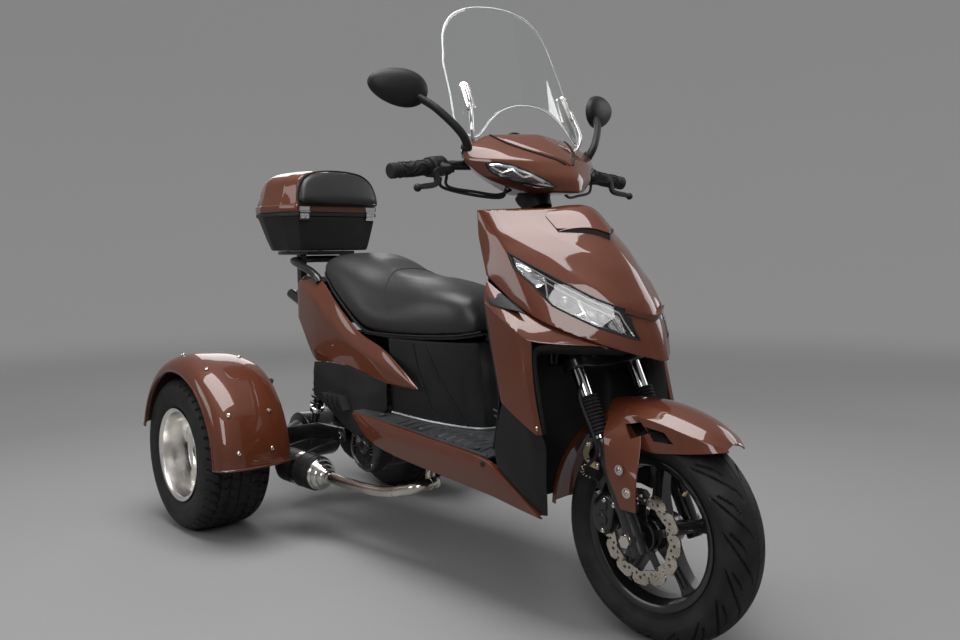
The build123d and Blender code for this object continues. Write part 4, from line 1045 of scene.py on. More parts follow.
def rear_wheels():
    """Polished deep-dish wheels with five broad spokes."""
    for side, hub in REAR_HUBS.items():
        turn = 1 if side == "left" else -1
        profile = [(138.5, 97), (136, 97), (129, 93), (126, 90), (123, 60), (121, 12), (112, 2), (112, -84),
                   (120, -90),
                   (136, -97), (138.5, -97), (138.5, -94), (127, -89), (127, 89), (138.5, 94)]
        barrel = lathe("rear_barrel", [(r, w * turn) for r, w in profile], hub, 144)
        soften(barrel, 1.0, 2, 30)
        dress(barrel, ALLOY, "rear_wheel_" + side, ["rear_rim_" + side], angle=30)
        face = 16 * turn
        blade = [(-0.15, 27, 8, face), (0.1, 25, 8.5, face + 2 * turn), (0.35, 20, 8, face + 1 * turn),
                 (0.65, 19, 7, face - 2 * turn), (0.9, 24, 7, face - 5 * turn),
                 (1.04, 31, 7, face - 6 * turn)]
        spokes = spoke_wheel("rear_spokes", hub, 42, 114, REAR_PHASE, blade)
        dress(spokes, ALLOY, "rear_wheel_" + side, angle=34)
        core = lathe("rear_core", [(16, 26), (30, 28), (34, 26), (44, 24), (52, 20), (56, 10), (56, 2),
                                   (16, 0)], hub, 64)
        if turn < 0:
            end_for_end(core, hub[1])
        soften(core, 1.0, 2, 30)
        dress(core, ALLOY, "rear_wheel_" + side)
        dark, nuts = [], []
        for i in range(SPOKES):
            angle = radians(REAR_PHASE + FIFTH * i + FIFTH / 2)
            place = Vector((hub[0] + 37 * cos(angle), hub[1] + 24.6 * turn, hub[2] + 37 * sin(angle)))
            dark.append(turned_on("seat", [(-4, 8.5), (0.5, 8.8), (0.6, 8.2)], place, (0, turn, 0), 20))
            nuts.append(hex_bolt(place, (0, turn, 0), 6, 7))
        dress(join("lug_seats", dark), BLACK, "rear_wheel_" + side)
        dress(join("lug_nuts", nuts), CHROME, "rear_wheel_" + side)
        cap = lathe("hub_cap", [(0.5, 40), (10, 39), (16, 36), (19, 30), (19, 24)], hub, 40, closed=False)
        if turn < 0:
            end_for_end(cap, hub[1])
        dress(cap, SATIN, "rear_wheel_" + side)


# ---------------------------------------------------------------- fenders
def fender_shell(name, centre, profile, arc, segments=96):
    """A turned sheet: a smooth profile of (radius, offset) over an arc in degrees."""
    curve = rounded_profile(profile, 4)
    rows = []
    for i in range(segments + 1):
        angle = radians(arc[0] + (arc[1] - arc[0]) * i / segments)
        rows.append([(centre[0] + r * cos(angle), centre[1] + offset, centre[2] + r * sin(angle))
                     for r, offset in curve])
    sheet = grid(name, rows)
    outward_normals(sheet, centre)
    return sheet


REAR_FENDER_CENTRE, REAR_FENDER_ARC = (-665, 0, 237.5), (0, 167)


def rear_fender():
    """Arched rear fenders with a rolled lip and button bolts."""
    centre = REAR_FENDER_CENTRE
    profile = [(246, 486), (258, 485), (272, 478), (283, 464), (291, 442), (295.5, 415), (296, 385),
               (294.6, 350),
               (291, 320), (284, 295), (276, 275), (267, 262)]
    sheet = fender_shell("rear_fender_sheet", centre, profile, REAR_FENDER_ARC)
    thicken(sheet, TRIM_WALL)
    dress(both(sheet), PAINT, "chassis", ["rear_fenders"], angle=30)
    edge = [(centre[0] + 248 * cos(radians(a)), 485.5, centre[2] + 248 * sin(radians(a)))
            for a in range(0, 168, 3)]
    lips = [tube("lip", edge, 4.0, 10)]
    curve = rounded_profile(profile, 4)
    for angle in REAR_FENDER_ARC:
        lips.append(tube("lip_end", [(centre[0] + (r - 1) * cos(radians(angle)), w,
                                      centre[2] + (r - 1) * sin(radians(angle)))
                                     for r, w in curve], 3.2, 10))
    dress(both(join("fender_lips", lips)), PAINT, "chassis")
    heads = []
    for angle, radius, offset in ((96, 292, 444), (64, 292, 444), (30, 293, 440), (9, 294, 430),
                                  (9, 292, 330),
                                  (30, 291, 318), (76, 290, 316), (130, 292, 440)):
        out = Vector((cos(radians(angle)), (offset - 385) / 180, sin(radians(angle))))
        place = (centre[0] + radius * cos(radians(angle)), offset, centre[2] + radius * sin(radians(angle)))
        heads.append(bolt(place, out, 6.5, 4.5))
    dress(both(join("fender_bolts", heads)), STEEL, "chassis")


def front_fender():
    """Rounded rear half, angular beak with two windows a side, and tabs bolted to the fork."""
    centre = FRONT_HUB
    profile = [(249, 69), (256, 68), (262, 65.5), (266, 60), (269, 50), (271.5, 38), (274, 20), (276, 4),
               (276.3, 0)]
    full = profile + [(r, -w) for r, w in reversed(profile[:-1])]

    sheet = fender_shell("front_fender_rear", centre, full, (99, 176), segments=70)
    thicken(sheet, TRIM_WALL)
    dress(sheet, PAINT, "steering", ["front_fender"], angle=30)

    stations = [
        [(636, -70, 452), (628, -70, 487), (614, -44, 503), (600, 0, 509)],
        [(690, -72, 430), (682, -72, 490), (677, -46, 509), (672, 0, 517)],
        [(741, -72, 414), (741, -72, 486), (741, -45, 506), (741, 0, 515)],
        [(792, -72, 423), (797, -71, 476), (800, -42, 494), (805, 0, 502)],
        [(848, -69, 430), (850, -63, 461), (853, -36, 476), (857, 0, 483)],
        [(888, -50, 436), (884, -44, 449), (882, -24, 459), (882, 0, 463)],
        [(903, -27, 438), (899, -24, 442), (898, -13, 446), (898, 0, 448)],
    ]
    rows = []
    for low, crease, shoulder, top in stations:
        middle = tuple((a + b) / 2 for a, b in zip(low, crease))
        upper = tuple((a + b) / 2 + (0, 0, 2.5)[i] for i, (a, b) in enumerate(zip(shoulder, top)))
        half = [low, middle, crease, shoulder, upper, top]
        rows.append(whole(half))
    beak = panel_of("front_fender_beak", rows, (740, 0, 300), 3.2,
                    {2: 0.95, 3: 0.5, 7: 0.5, 8: 0.95, 5: 0.2}, {0: 0.4, 6: 0.8}, levels=3)
    windows = [[(688, 470), (709, 443), (742, 457), (721, 477)], [(732, 469), (753, 442), (803, 443),
                                                                  (780, 464)]]
    for outline in windows:
        hole = prism("window", outline, -90, -40)
        carve(beak, mirrored(hole))
        carve(beak, hole)
    dress(beak, PAINT, "steering", angle=30)
    rows = []
    for xa, xb, z_at, rear, front in ((634, 712, 486, -73, -73.5), (640, 716, 474, -81, -74),
                                      (645, 721, 460, -96, -75),
                                      (650, 726, 446, -109, -78), (656, 733, 424, -115, -86),
                                      (663, 738, 394, -116, -100),
                                      (668, 741, 365, -116, -111), (690, 743, 330, -116, -115),
                                      (704, 745, 300, -116, -116)):
        rise = 4 if z_at > 400 else 0
        rows.append([(xa + (xb - xa) * k, rear + (front - rear) * k ** 1.6, z_at + rise * k)
                     for k in (0, 0.06, 0.35, 0.65, 0.94, 1)])
    tab = panel_of("tab", rows, (690, 0, 400), TRIM_WALL, {0: 0.5, 5: 0.5})
    for outline in windows:
        carve(tab, prism("window", outline, -130, -40))
    dress(both(join("fender_tabs", [tab])), PAINT, "steering", angle=40)
    heads = []
    for px, pz in ((700, 381), (720, 337)):
        heads.append(bolt((px, -114.5, pz), (0, -1, 0), 7, 3.5))
        heads.append(turned_on("washer", [(0, 11), (1.2, 11), (1.6, 8)], (px, -114.5, pz), (0, -1, 0), 28))
    dress(both(join("tab_bolts", heads)), STEEL, "steering")


tyres()
front_wheel_metal()
brake_disc()
rear_wheels()
rear_fender()
front_fender()


# ---------------------------------------------------------------- cushions
STUFFING_REACH = 0.014


def stuffed(obj, pressure, frames, pinned, voxel=0.009):
    """A closed mesh blown up a little like a stuffed cover; pinned(co in millimetres) keeps points still."""
    remesh = obj.modifiers.new("even", "REMESH")
    remesh.mode = "VOXEL"
    remesh.voxel_size = voxel
    bake(obj)
    group = obj.vertex_groups.new(name="pin")
    still = [v.index for v in obj.data.vertices if pinned(v.co / MM)]
    group.add(still, 1.0, "ADD")
    before = [v.co.copy() for v in obj.data.vertices]
    cloth = obj.modifiers.new("cover", "CLOTH")
    settings = cloth.settings
    settings.quality = 6
    settings.mass = 0.3
    settings.tension_stiffness = 40
    settings.compression_stiffness = 20
    settings.shear_stiffness = 12
    settings.bending_stiffness = 2.0
    settings.use_pressure = True
    settings.uniform_pressure_force = pressure
    settings.vertex_group_mass = "pin"
    settings.effector_weights.gravity = 0
    cloth.point_cache.frame_start = 1
    cloth.point_cache.frame_end = frames
    scene = bpy.context.scene
    scene.frame_start, scene.frame_end = 1, frames
    for step in range(1, frames + 1):
        scene.frame_set(step)
        bpy.context.view_layer.update()
    bake(obj)
    scene.frame_set(1)
    for vertex, old in zip(obj.data.vertices, before):
        move = vertex.co - old
        if move.length > STUFFING_REACH:
            vertex.co = old + move.normalized() * STUFFING_REACH
    return obj


SEAT = [
    (200, 58, 624, 664), (176, 84, 618, 706), (140, 104, 613, 728), (40, 132, 608, 744),
        (-80, 146, 606, 740),
    (-180, 152, 610, 762), (-240, 152, 640, 790), (-341, 148, 708, 818), (-396, 140, 750, 822),
        (-428, 122, 764, 806),
]


def seat():
    """Stuffed leather cover with a cross seam and a welt."""
    rows = []
    for x, w, low, top in SEAT:
        tall = top - low
        half = [(0, low), (w * 0.6, low), (w * 0.93, low + 1), (w * 0.985, low + 0.12 * tall),
                (w, low + 0.32 * tall),
                (w * 0.985, low + 0.55 * tall), (w * 0.9, low + 0.80 * tall),
                (w * 0.66, low + 0.955 * tall),
                (w * 0.34, top + 0.5), (0, top + 1)]
        rows.append([(x, y, z) for y, z in half] + [(x, -y, z) for y, z in reversed(half[1:-1])])
    cover = solid_cage("seat_cover", rows, {2: 0.5, 16: 0.5}, levels=3, rim=0.25)
    outward_normals(cover, (-100, 0, 690))
    stuffed(cover, 2.0, 14, lambda co: co.z < 624 + max(0, -co.x - 190) * 0.62)
    relaxed(cover, 8)
    subdivided(cover, 1)
    tree = skin_tree(cover)
    dress(cover, LEATHER, "seat_lid", ["seat_cushion"], angle=60)

    line = [(-172 + 52 * (y / 120) ** 2, y) for y in range(-124, 125, 8)]
    seam = [(x, y, top_of(tree, x, y)) for x, y in line if top_of(tree, x, y)]
    dress(tube("seat_seams", seam, 1.3, 8), RUBBER, "seat_lid")
    welt = tube("welt", smooth_path([(x, w * 0.95, low + 3) for x, w, low, _ in SEAT], 6), 2.4, 8)
    dress(both(welt), RUBBER, "seat_lid")


def seat_pedestal():
    """Dark moulded base with a recessed front panel, side folds and two raised chevrons."""
    levels = {
        376: [(-70, 137), (60, 121), (170, 85), (210, 47), (215, 0)],
        470: [(-70, 141), (60, 125), (164, 86), (200, 47), (206, 0)],
        560: [(-70, 143), (60, 127), (160, 90), (194, 52), (199, 0)],
        597: [(-70, 144), (60, 128), (158, 92), (193, 54), (198, 0)],
    }
    rows = []
    for z in (376, 384, 400, 440, 480, 520, 560, 590, 597):
        half = at_height(levels, z)
        points = []
        for (xa, ya), (xb, yb), push in zip(half, half[1:], (1, 3, 3, 1)):
            points += [(xa, ya), ((xa + xb) / 2 + push * 0.4, (ya + yb) / 2 + push)]
        points.append(half[-1])
        sink = 0.0
        if 400 < z < 590:
            sink = 7.0 if z < 560 else 16.0
        rows.append(whole([(x - sink if y < 30 else x, y, z) for x, y in points]))
    base = panel_of("pedestal", rows, (0, 0, 480), PANEL_WALL, {4: 0.3, 6: 0.7, 10: 0.7, 12: 0.3}, {1: 0.4},
                    round_edge=0.6)
    dress(base, DARK, "chassis", ["seat_base"], angle=30)
    tree = skin_tree(base)
    folds = []
    for points in ([(60, 592), (96, 520), (150, 430), (176, 388)],
                   [(20, 590), (44, 500), (80, 420), (104, 388)]):
        path = along_side(tree, points, -0.6, 10)
        folds.append(tube("fold", smooth_path(path, 2), 3.0, 8))
    dress(both(join("pedestal_folds", folds)), DARK, "chassis")
    marks = []
    for drop in (0, 15):
        path = [on_face(tree, y, 428 - drop - (16 - abs(y)) * 0.55, -0.5)
                for y in (-20, -14, -8, -3, 0, 3, 8, 14, 20)]
        marks.append(sweep("chevron", path, strip(2.4, 0.8), up=(1, 0, 0)))
    dress(join("chevrons", marks), SILVER, "chassis")
    foot = [(x + 3, y + 2, deck_height(x) + 3) for x, y in at_height(levels, 380)]
    dress(tube("pedestal_foot", smooth_path(whole(foot), 6), 3.0, 8), SILVER, "chassis")


DECK_REAR, DECK_HEIGHT, DECK_FALL = -150, 404, 0.058


def deck_height(x):
    """The height of the floor, which falls toward the front."""
    return DECK_HEIGHT - DECK_FALL * (x - DECK_REAR)


def floor_mat():
    """Ribbed floor with bent ribs, two slots and a rim."""
    rows = []
    for x in range(DECK_REAR, 401, 10):
        rows.append([(x, y, deck_height(x)) for y in range(-207, 208, 9)])
    deck = grid("deck", rows)
    outward_normals(deck, (100, 0, 200))
    thicken(deck, 5)
    hole = prism("stem", [(330, -42), (420, -42), (420, 42), (330, 42)], 300, 500, axis="z")
    carve(deck, hole)
    dress(deck, MAT, "chassis", ["floorboard"])
    ribs = []
    for i in range(11):
        x = 30 + 32 * i
        for side in (-1, 1):
            bend = [(x - 14, 86), (x + 4, 120), (x - 6, 150), (x + 8, 196)]
            path = [(a, side * b, deck_height(a) + 0.8) for a, b in bend if not inside_foot(a, b)]
            if len(path) > 1:
                ribs.append(sweep("rib", smooth_path(path, 4), [(-4.5, -1.2), (4.5, -1.2), (3, 1.8),
                                                                (-3, 1.8)]))
    for y in (-206, -66, 66, 206):
        stations = (20, 200, 395) if abs(y) > 100 else (225, 300, 395)
        path = [(x, y, deck_height(x) + 0.5) for x in stations]
        ribs.append(sweep("edge", path, [(-3, -1.5), (3, -1.5), (2, 2.5), (-2, 2.5)]))
    for i in range(5):
        x = 236 + 30 * i
        ribs.append(sweep("rib", [(x, -58, deck_height(x) + 0.6), (x + 6, 0, deck_height(x) + 0.6),
                                  (x, 58, deck_height(x) + 0.6)],
                          [(-4.5, -1.2), (4.5, -1.2), (3, 1.6), (-3, 1.6)]))
    dress(join("mat_ribs", ribs), MAT, "chassis")
    slots = []
    for x, y in ((-60, 178), (120, 186), (330, 186)):
        for side in (-1, 1):
            slots.append(turned_on("slot", [(0, 13), (1.5, 13), (1.8, 10), (0.6, 9)],
                                   (x, side * y, deck_height(x) + 1), (0, 0, 1), 24))
    dress(join("mat_holes", slots), MAT, "chassis")


def inside_foot(x, y):
    """Whether a point of the floor lies under the seat base."""
    return x < 215 and abs(y) < 137 - (x + 70) * 0.2 + 4


TAIL = [
    (76, (158, 482), (161, 481), (160, 479)), (-22, (154, 539), (163, 516), (163, 481)),
    (-68, (153, 562), (165, 528), (165, 484)), (-110, (152, 580), (167, 542), (165.5, 491.6)),
    (-184, (152, 598), (168, 564), (166, 505)), (-240, (152, 628), (168, 584), (166, 515)),
    (-341, (148, 696), (168, 640), (165, 515)), (-397, (140, 738), (165, 676), (161.8, 510.5)),
    (-427, (137, 748), (163, 696), (160, 508)), (-476, (132, 752), (156, 716), (155, 562)),
    (-540, (118, 756), (146, 732), (146, 630)),
]


def tail():
    """Painted side panels, dark covers with slanted vents, and the tail lamp."""
    rows = []
    for x, top, mid, low in TAIL:
        upper = [(x, top[0] - 3, top[1] - 1), (x, *top), (x, (top[0] + mid[0]) / 2 + 1.5,
                                                          (top[1] + mid[1]) / 2 + 1)]
        lower = [(x, *mid), (x, (mid[0] + low[0]) / 2 + 0.8, (mid[1] + low[1]) / 2), (x, *low),
                 (x, low[0] - 3, low[1])]
        rows.append(upper + lower)
    side = panel_of("tail_side", rows, (-250, 0, 600), PANEL_WALL, {1: 0.6, 3: 0.85, 5: 0.7},
                    round_edge=0.7)
    dress(both(side), PAINT, "chassis", ["tail_panels"], angle=26)
    lower = [(-427, (160, 507), (166, 414)), (-341, (165, 514), (171, 384)), (-240, (166, 514), (178, 340)),
             (-154, (166, 498), (184, 318)), (-112, (158.5, 491), (166, 370)),
             (-72, (150, 483), (152, 410))]
    rows = []
    for x, top, low in lower:
        mid = ((top[0] + low[0]) / 2 + 1.5, (top[1] + low[1]) / 2 + 6)
        rows.append([(x, *top), (x, mid[0], mid[1] + 16), (x, *mid), (x, *low),
                     (x, low[0] - 5, low[1] + 1)])
    cover = panel_of("side_cover", rows, (-250, 0, 440), PANEL_WALL, {2: 0.5, 3: 0.7}, levels=3,
                     round_edge=0.7)
    for i in range(4):
        x = -330 + 26 * i
        hole = prism("vent", [(x, 430), (x + 14, 430), (x + 40, 394), (x + 26, 394)], 140, 200)
        carve(cover, hole)
    dress(both(cover), DARK, "chassis", ["side_covers"], angle=30)
    back = prism("vent_backs", [(-340, 436), (-220, 436), (-196, 388), (-306, 388)], 158, 160)
    dress(both(back), BLACK, "chassis")
    rows = []
    for x, wide, low, top in ((-540.5, 141, 702.5, 747), (-552, 128, 702.5, 745), (-566, 106, 703, 742),
                              (-574, 92, 704, 740),
                              (-577, 84, 706, 737)):
        rows.append([(x, -wide, low), (x, -wide, (low + top) / 2), (x, -wide + 10, top), (x, 0, top),
                     (x, wide - 10, top),
                     (x, wide, (low + top) / 2), (x, wide, low), (x, 0, low)])
    lens = solid_cage("tail_lens", rows, {0: 0.5, 2: 0.5, 4: 0.5, 6: 0.5}, levels=3, rim=0.7)
    dress(lens, RED, "chassis", ["tail_lamp"], angle=30)


# ---------------------------------------------------------------- top box
BOX_FRONT, BOX_MIDDLE = -540, -140
PAD_MIDDLE, PAD_LEAN = 1016, -14 / 78
BOX_RIM = [(0, 0), (0, 142), (-52, 172), (-160, 180), (-236, 158), (-276, 92), (-282, 0)]
BOX_LOW = [(-20, 0), (-20, 120), (-60, 138), (-150, 144), (-212, 120), (-240, 72), (-246, 0)]
BOX_SHOULDER = [(-14, 0), (-14, 128), (-58, 148), (-160, 154), (-220, 132), (-252, 78), (-258, 0)]
BOX_CROWN = [(-17.4, 0), (-17.4, 100), (-64, 122), (-156, 128), (-200, 104), (-226, 62), (-230, 0)]
BOX_PEAK = [(-44, 0), (-44, 72), (-82, 90), (-150, 92), (-176, 76), (-192, 46), (-196, 0)]


def box_ring(half, z, scale=1.0):
    """A closed ring in plan with doubled corner points, scaled about its middle."""
    points = []
    for (xa, ya), (xb, yb) in zip(half, half[1:]):
        for t in (0.0, 0.12, 0.5, 0.88):
            points.append((xa + (xb - xa) * t, ya + (yb - ya) * t))
    points.append(half[-1])
    points = [(BOX_MIDDLE + (x - BOX_MIDDLE) * scale, y * scale) for x, y in points]
    return [(BOX_FRONT + x, y, z) for x, y in points] + [(BOX_FRONT + x, -y, z)
                                                         for x, y in reversed(points[1:-1])]


def between_rings(a, b, t):
    """A half outline between two others."""
    return [(xa + (xb - xa) * t, ya + (yb - ya) * t) for (xa, ya), (xb, yb) in zip(a, b)]


def top_box():
    """Dark base, painted lid, stuffed backrest pad, reflectors and hinges."""
    rows = [box_ring(BOX_LOW, 828.5, 0.55), box_ring(BOX_LOW, 828.5, 0.94), box_ring(BOX_LOW, 830, 0.985),
            box_ring(BOX_LOW, 836)]
    for t in (0.3, 0.7, 0.86):
        rows.append(box_ring(between_rings(BOX_LOW, BOX_RIM, t * 0.93), 828 + 117 * t))
    rows += [box_ring(BOX_RIM, 932, 0.965), box_ring(BOX_RIM, 934, 0.995), box_ring(BOX_RIM, 943, 0.995),
             box_ring(BOX_RIM, 944.6, 0.985), box_ring(BOX_RIM, 944.6, 0.95), box_ring(BOX_RIM, 932, 0.94),
             box_ring(BOX_LOW, 836, 0.95), box_ring(BOX_LOW, 834, 0.5)]
    base = solid_cage("box_base_shell", rows, row_creases={7: 0.6, 8: 0.7, 10: 0.6, 11: 0.6, 13: 0.6})
    outward_normals(base, (BOX_FRONT + BOX_MIDDLE, 0, 880))
    dress(base, DARK, "chassis", ["box_base"], angle=30)

    rows = [box_ring(BOX_RIM, 945.6, 0.955), box_ring(BOX_RIM, 945.6, 0.985), box_ring(BOX_RIM, 947, 0.997),
            box_ring(BOX_RIM, 956, 1.0), box_ring(BOX_RIM, 965, 0.997), box_ring(BOX_RIM, 968, 0.975),
            box_ring(BOX_RIM, 974, 0.968)]
    for t in (0.35, 0.7, 1.0):
        rows.append(box_ring(between_rings(BOX_RIM, BOX_SHOULDER, 0.25 + 0.75 * t), 967 + 78 * t))
    rows += [box_ring(BOX_CROWN, 1062, 1.03), box_ring(BOX_PEAK, 1071, 1.06),
             box_ring(BOX_PEAK, 1074, 0.75),
             box_ring(BOX_PEAK, 1074.6, 0.3)]
    lid = solid_cage("box_lid_shell", rows, row_creases={1: 0.5, 4: 0.6, 5: 0.6})
    outward_normals(lid, (BOX_FRONT + BOX_MIDDLE, 0, 1000))
    dress(lid, PAINT, "box_cover", ["box_lid"], angle=30)

    outline = [(134, 970), (138, 980), (137, 1000), (128, 1028), (112, 1048), (86, 1062), (44, 1069),
               (0, 1071)]
    full = outline + [(-y, z) for y, z in reversed(outline[:-1])]
    full = full[::-1] + [(y, 968) for y in (100, 50, 0, -50, -100)]

    def pad_row(forward, inset):
        return [(BOX_FRONT + PAD_LEAN * (z - 967) + forward, y * (1 - inset / 130),
                 PAD_MIDDLE + (z - PAD_MIDDLE) * (1 - inset / 52)) for y, z in full]
    rows = [pad_row(1.5, 8), pad_row(1.5, 1), pad_row(8, 0), pad_row(16, 2), pad_row(21, 10),
            pad_row(22.5, 26)]
    pad = solid_cage("pad_cover", rows, row_creases={1: 0.5}, rim=0.1)
    outward_normals(pad, (BOX_FRONT + 8, 0, 1016))
    stuffed(pad, 1.2, 10, lambda co: co.x < BOX_FRONT + PAD_LEAN * (co.z - 967) + 7, voxel=0.005)
    relaxed(pad, 4)
    dress(pad, LEATHER, "box_cover", ["backrest_pad"], angle=60)
    seam = [(BOX_FRONT + PAD_LEAN * (z - 967) + 6, y * 1.012, PAD_MIDDLE + (z - PAD_MIDDLE) * 1.02)
            for y, z in full]
    dress(tube("pad_welt", smooth_path(seam + seam[:1], 3)[:-1], 3.0, 8, closed=True), RUBBER, "box_cover")

    rows = []
    low, high, a, b = 1000, 1044, Vector((-222, 134, 0)), Vector((-262, 62, 0))
    for t in (0.0, 0.33, 0.66, 1.0):
        plan = a + (b - a) * t
        bow = 6 * sin(pi * t)
        rows.append([(BOX_FRONT + plan.x - bow - 7, plan.y + bow + 6, low),
                     (BOX_FRONT + plan.x - bow - 2, plan.y + bow + 1, (low + high) / 2),
                     (BOX_FRONT + plan.x - bow + 6, plan.y + bow - 6, high)])
    corner = panel_of("box_reflectors", rows, (BOX_FRONT + BOX_MIDDLE, 0, 1000), COWL_WALL, round_edge=1.0,
                      outward=True)
    dress(both(corner), RED, "box_cover")
    plates, leaves = [], []
    for side in (-1, 1):
        y = side * 118
        plates.append(sweep("plate", [(BOX_FRONT + 2.5, y, 944), (BOX_FRONT + 3.5, y, 930),
                                      (BOX_FRONT - 0.5, y, 922)],
                            strip(15, 1.2), up=(1, 0, 0)))
        for z in (938, 928):
            plates.append(bolt((BOX_FRONT + 3, y - 8, z), (1, 0, 0), 2.8, 2))
            plates.append(bolt((BOX_FRONT + 3, y + 8, z), (1, 0, 0), 2.8, 2))
        leaves.append(sweep("plate", [(BOX_FRONT + 2.5, y, 947), (BOX_FRONT + 3, y, 962)],
                            strip(17, 1.2), up=(1, 0, 0)))
        leaves.append(turned_on("barrel", [(-16, 4.2), (16, 4.2)], (BOX_FRONT + 4.5, y, 946), (0, 1, 0),
                                16))
    dress(join("hinge_plates", plates), CHROME, "chassis")
    dress(join("hinge_leaves", leaves), CHROME, "box_cover")


seat()
seat_pedestal()
floor_mat()
tail()
top_box()


# ---------------------------------------------------------------- bar, cover and screen
NACELLE = {
    958: [(298, 46), (372, 62), (452, 44), (484, 0)],
    990: [(292, 120), (352, 168), (444, 80), (478, 0)],
    1030: [(278, 172), (332, 214), (420, 92), (446, 0)],
    1062: [(272, 176), (322, 204), (372, 100), (402, 0)],
    1096: [(276, 110), (312, 120), (330, 60), (350, 0)],
}
SCREEN_ROLL, SCREEN_HALF = 420, 195.5
EYE = [(362, 1022), (378, 1026), (400, 1019), (424, 1004), (444, 988), (457, 970), (447, 965), (420, 968),
       (396, 976),
       (374, 994), (364, 1008)]


def nacelle():
    """Bar cover with its two lamps, visor, neck and dash."""
    rows = []
    for scale, drop in ((0.0, 2.0), (0.5, 1.2), (0.92, 0.0)):
        rows.append([(x, y * scale, 958 - drop) for x, y, _ in plan_row(NACELLE[958], 958, (0, 0, 0))])
    for z in (960, 974, 990, 1010, 1030, 1046, 1062, 1080, 1093):
        rows.append(plan_row(at_height(NACELLE, z), z, (1, 4, 3)))
    for scale, lift in ((0.9, 1.0), (0.5, 3.0), (0.0, 4.0)):
        rows.append([(x, y * scale, 1093 + lift) for x, y,
                     _ in plan_row(at_height(NACELLE, 1093), 1093, (0, 0, 0))])
    rows[0] = [(min(max(x, 300), 480), y, z) for x, y, z in rows[0]]
    rows[-1] = [(min(max(x, 278), 346), y, z) for x, y, z in rows[-1]]
    surface = cage("nacelle_surface", rows, {3: 0.4, 6: 0.45, 12: 0.45, 15: 0.4}, {3: 0.4, 7: 0.35},
                   levels=2)
    outward_normals(surface, (350, 0, 1010))
    tree = skin_tree(surface)
    shell = link("nacelle_paint", surface.data.copy())
    thicken(shell, 3, round_edge=0)
    lens = link("eye_stock", shell.data.copy())
    zone = prism("zone", EYE, -240, -36)
    left_zone = mirrored(zone)
    carve(shell, zone, keep=True)
    carve(shell, left_zone, keep=True)
    zones = join("zones", [zone, left_zone])
    carve(lens, zones, "INTERSECT")
    for side in (-1, 1):
        reach = turned_on("reach", [(0, 31), (230, 26)], (240, side * 236, 1026), (46, -side * 200, -2), 32)
        carve(shell, reach)
    stem = steered_tube("stem", 0, 0, [(700, 19), (900, 19)], 32)
    carve(shell, stem)
    soften(shell, 0.8, 2, 38)
    dress(shell, PAINT, "steering", ["nacelle"], angle=28)
    dress(lens, LENS, "steering", ["nacelle_lamps"], angle=28)
    gasket = both(tube("eye_gasket", along_side(tree, EYE + EYE[:1], 0.8, 6.0), 1.8, 8))
    dress(gasket, RUBBER, "steering")
    pan = dish("eye_pan", tree, EYE, ((1.0, 3), (0.95, 12), (0.8, 18), (0.4, 20)))
    dress(both(pan), MIRROR, "steering")
    # Dark band just under each lamp's upper rim, laid over the reflector: painted shade where the cover's
    # lip would shadow it.
    painted_shade_line = [(366, 1016), (392, 1010), (418, 994), (446, 974), (452, 968), (424, 972), (396, 990),
                  (372, 1002)]
    dark = dish("eye_painted_shade", tree, painted_shade_line, ((1.0, 5), (0.9, 8), (0.5, 9)))
    dress(both(dark), SMOKE, "steering")
    bars = [ribbon("eye_bar", tree, [(370, 1014), (384, 1001), (400, 1010), (414, 989), (428, 995),
                                     (440, 976)], 6, 4, 4),
            ribbon("eye_edge", tree, [(368, 1019), (380, 1021), (400, 1014), (424, 999), (446, 980)], 4, 4,
                   3)]
    dress(both(join("eye_bars", bars)), MIRROR, "steering")

    def skin_top(x, y):
        return top_of(tree, min(x, 455), y, 1000, BAR_RAY)
    rows = []
    for t in (0.0, 0.1, 0.3, 0.55, 0.8, 0.94, 1.0):
        x = 322 + 132 * t
        half = 118 * (1 - t ** 1.6) + 2
        row = []
        for k in (-1, -0.9, -0.55, -0.2, 0, 0.2, 0.55, 0.9, 1):
            px = x - 14 * abs(k) * (1 - t)
            lift = (1.5 if abs(k) == 1 else 5.0) + 5.0 * (1 - abs(k)) * sin(pi * min(t + 0.15, 1))
            row.append((px, half * k, skin_top(px, half * k) + lift * min(1, t * 6 + 0.1)))
        rows.append(row)
    visor = panel_of("visor", rows, (360, 0, 900), COWL_WALL, {1: 0.5, 4: 0.35, 7: 0.5}, {5: 0.5})
    dress(visor, PAINT, "steering", angle=30)
    groove = []
    for side in (-1, 1):
        path = []
        for t in (0.02, 0.12, 0.3, 0.5, 0.7, 0.86, 0.96):
            half = 118 * (1 - t ** 1.6) + 4
            x = 322 + 132 * t - 12 * (1 - t) + 3
            path.append((x, side * half, skin_top(x, side * half) + 1.4))
        groove.append(tube("groove", smooth_path(path, 4), 2.2, 8))
    dress(join("visor_groove", groove), BLACK, "steering")
    bpy.data.objects.remove(surface)

    neck = steered_tube("neck", 0, 0, [(778, 22), (780, 34), (800, 36), (812, 42), (822, 44), (824, 22)])
    dress(neck, BLACK, "steering")
    rows = [[(268, -92, 1093), (262, -92, 1080), (254, -86, 1060)],
            [(262, -30, 1095), (256, -30, 1082), (250, -28, 1060)],
            [(262, 30, 1095), (256, 30, 1082), (250, 28, 1060)], [(268, 92, 1093), (262, 92, 1080),
                                                                  (254, 86, 1060)]]
    panel = panel_of("dash_panel", rows, (300, 0, 1080), 20, levels=3, round_edge=1.5)
    dress(panel, BLACK, "steering", ["dash"])
    glass = []
    for y, radius in ((0, 32), (-58, 18), (58, 18)):
        glass.append(turned_on("dial", [(-2, radius + 4), (2.5, radius + 4), (3.5, radius),
                                        (2.2, radius - 1), (2.2, 1)],
                               (258.5 if y == 0 else 260.5, y, 1078), (-0.94, 0, 0.34), 48))
    dress(join("dials", glass), GLOSS, "steering")


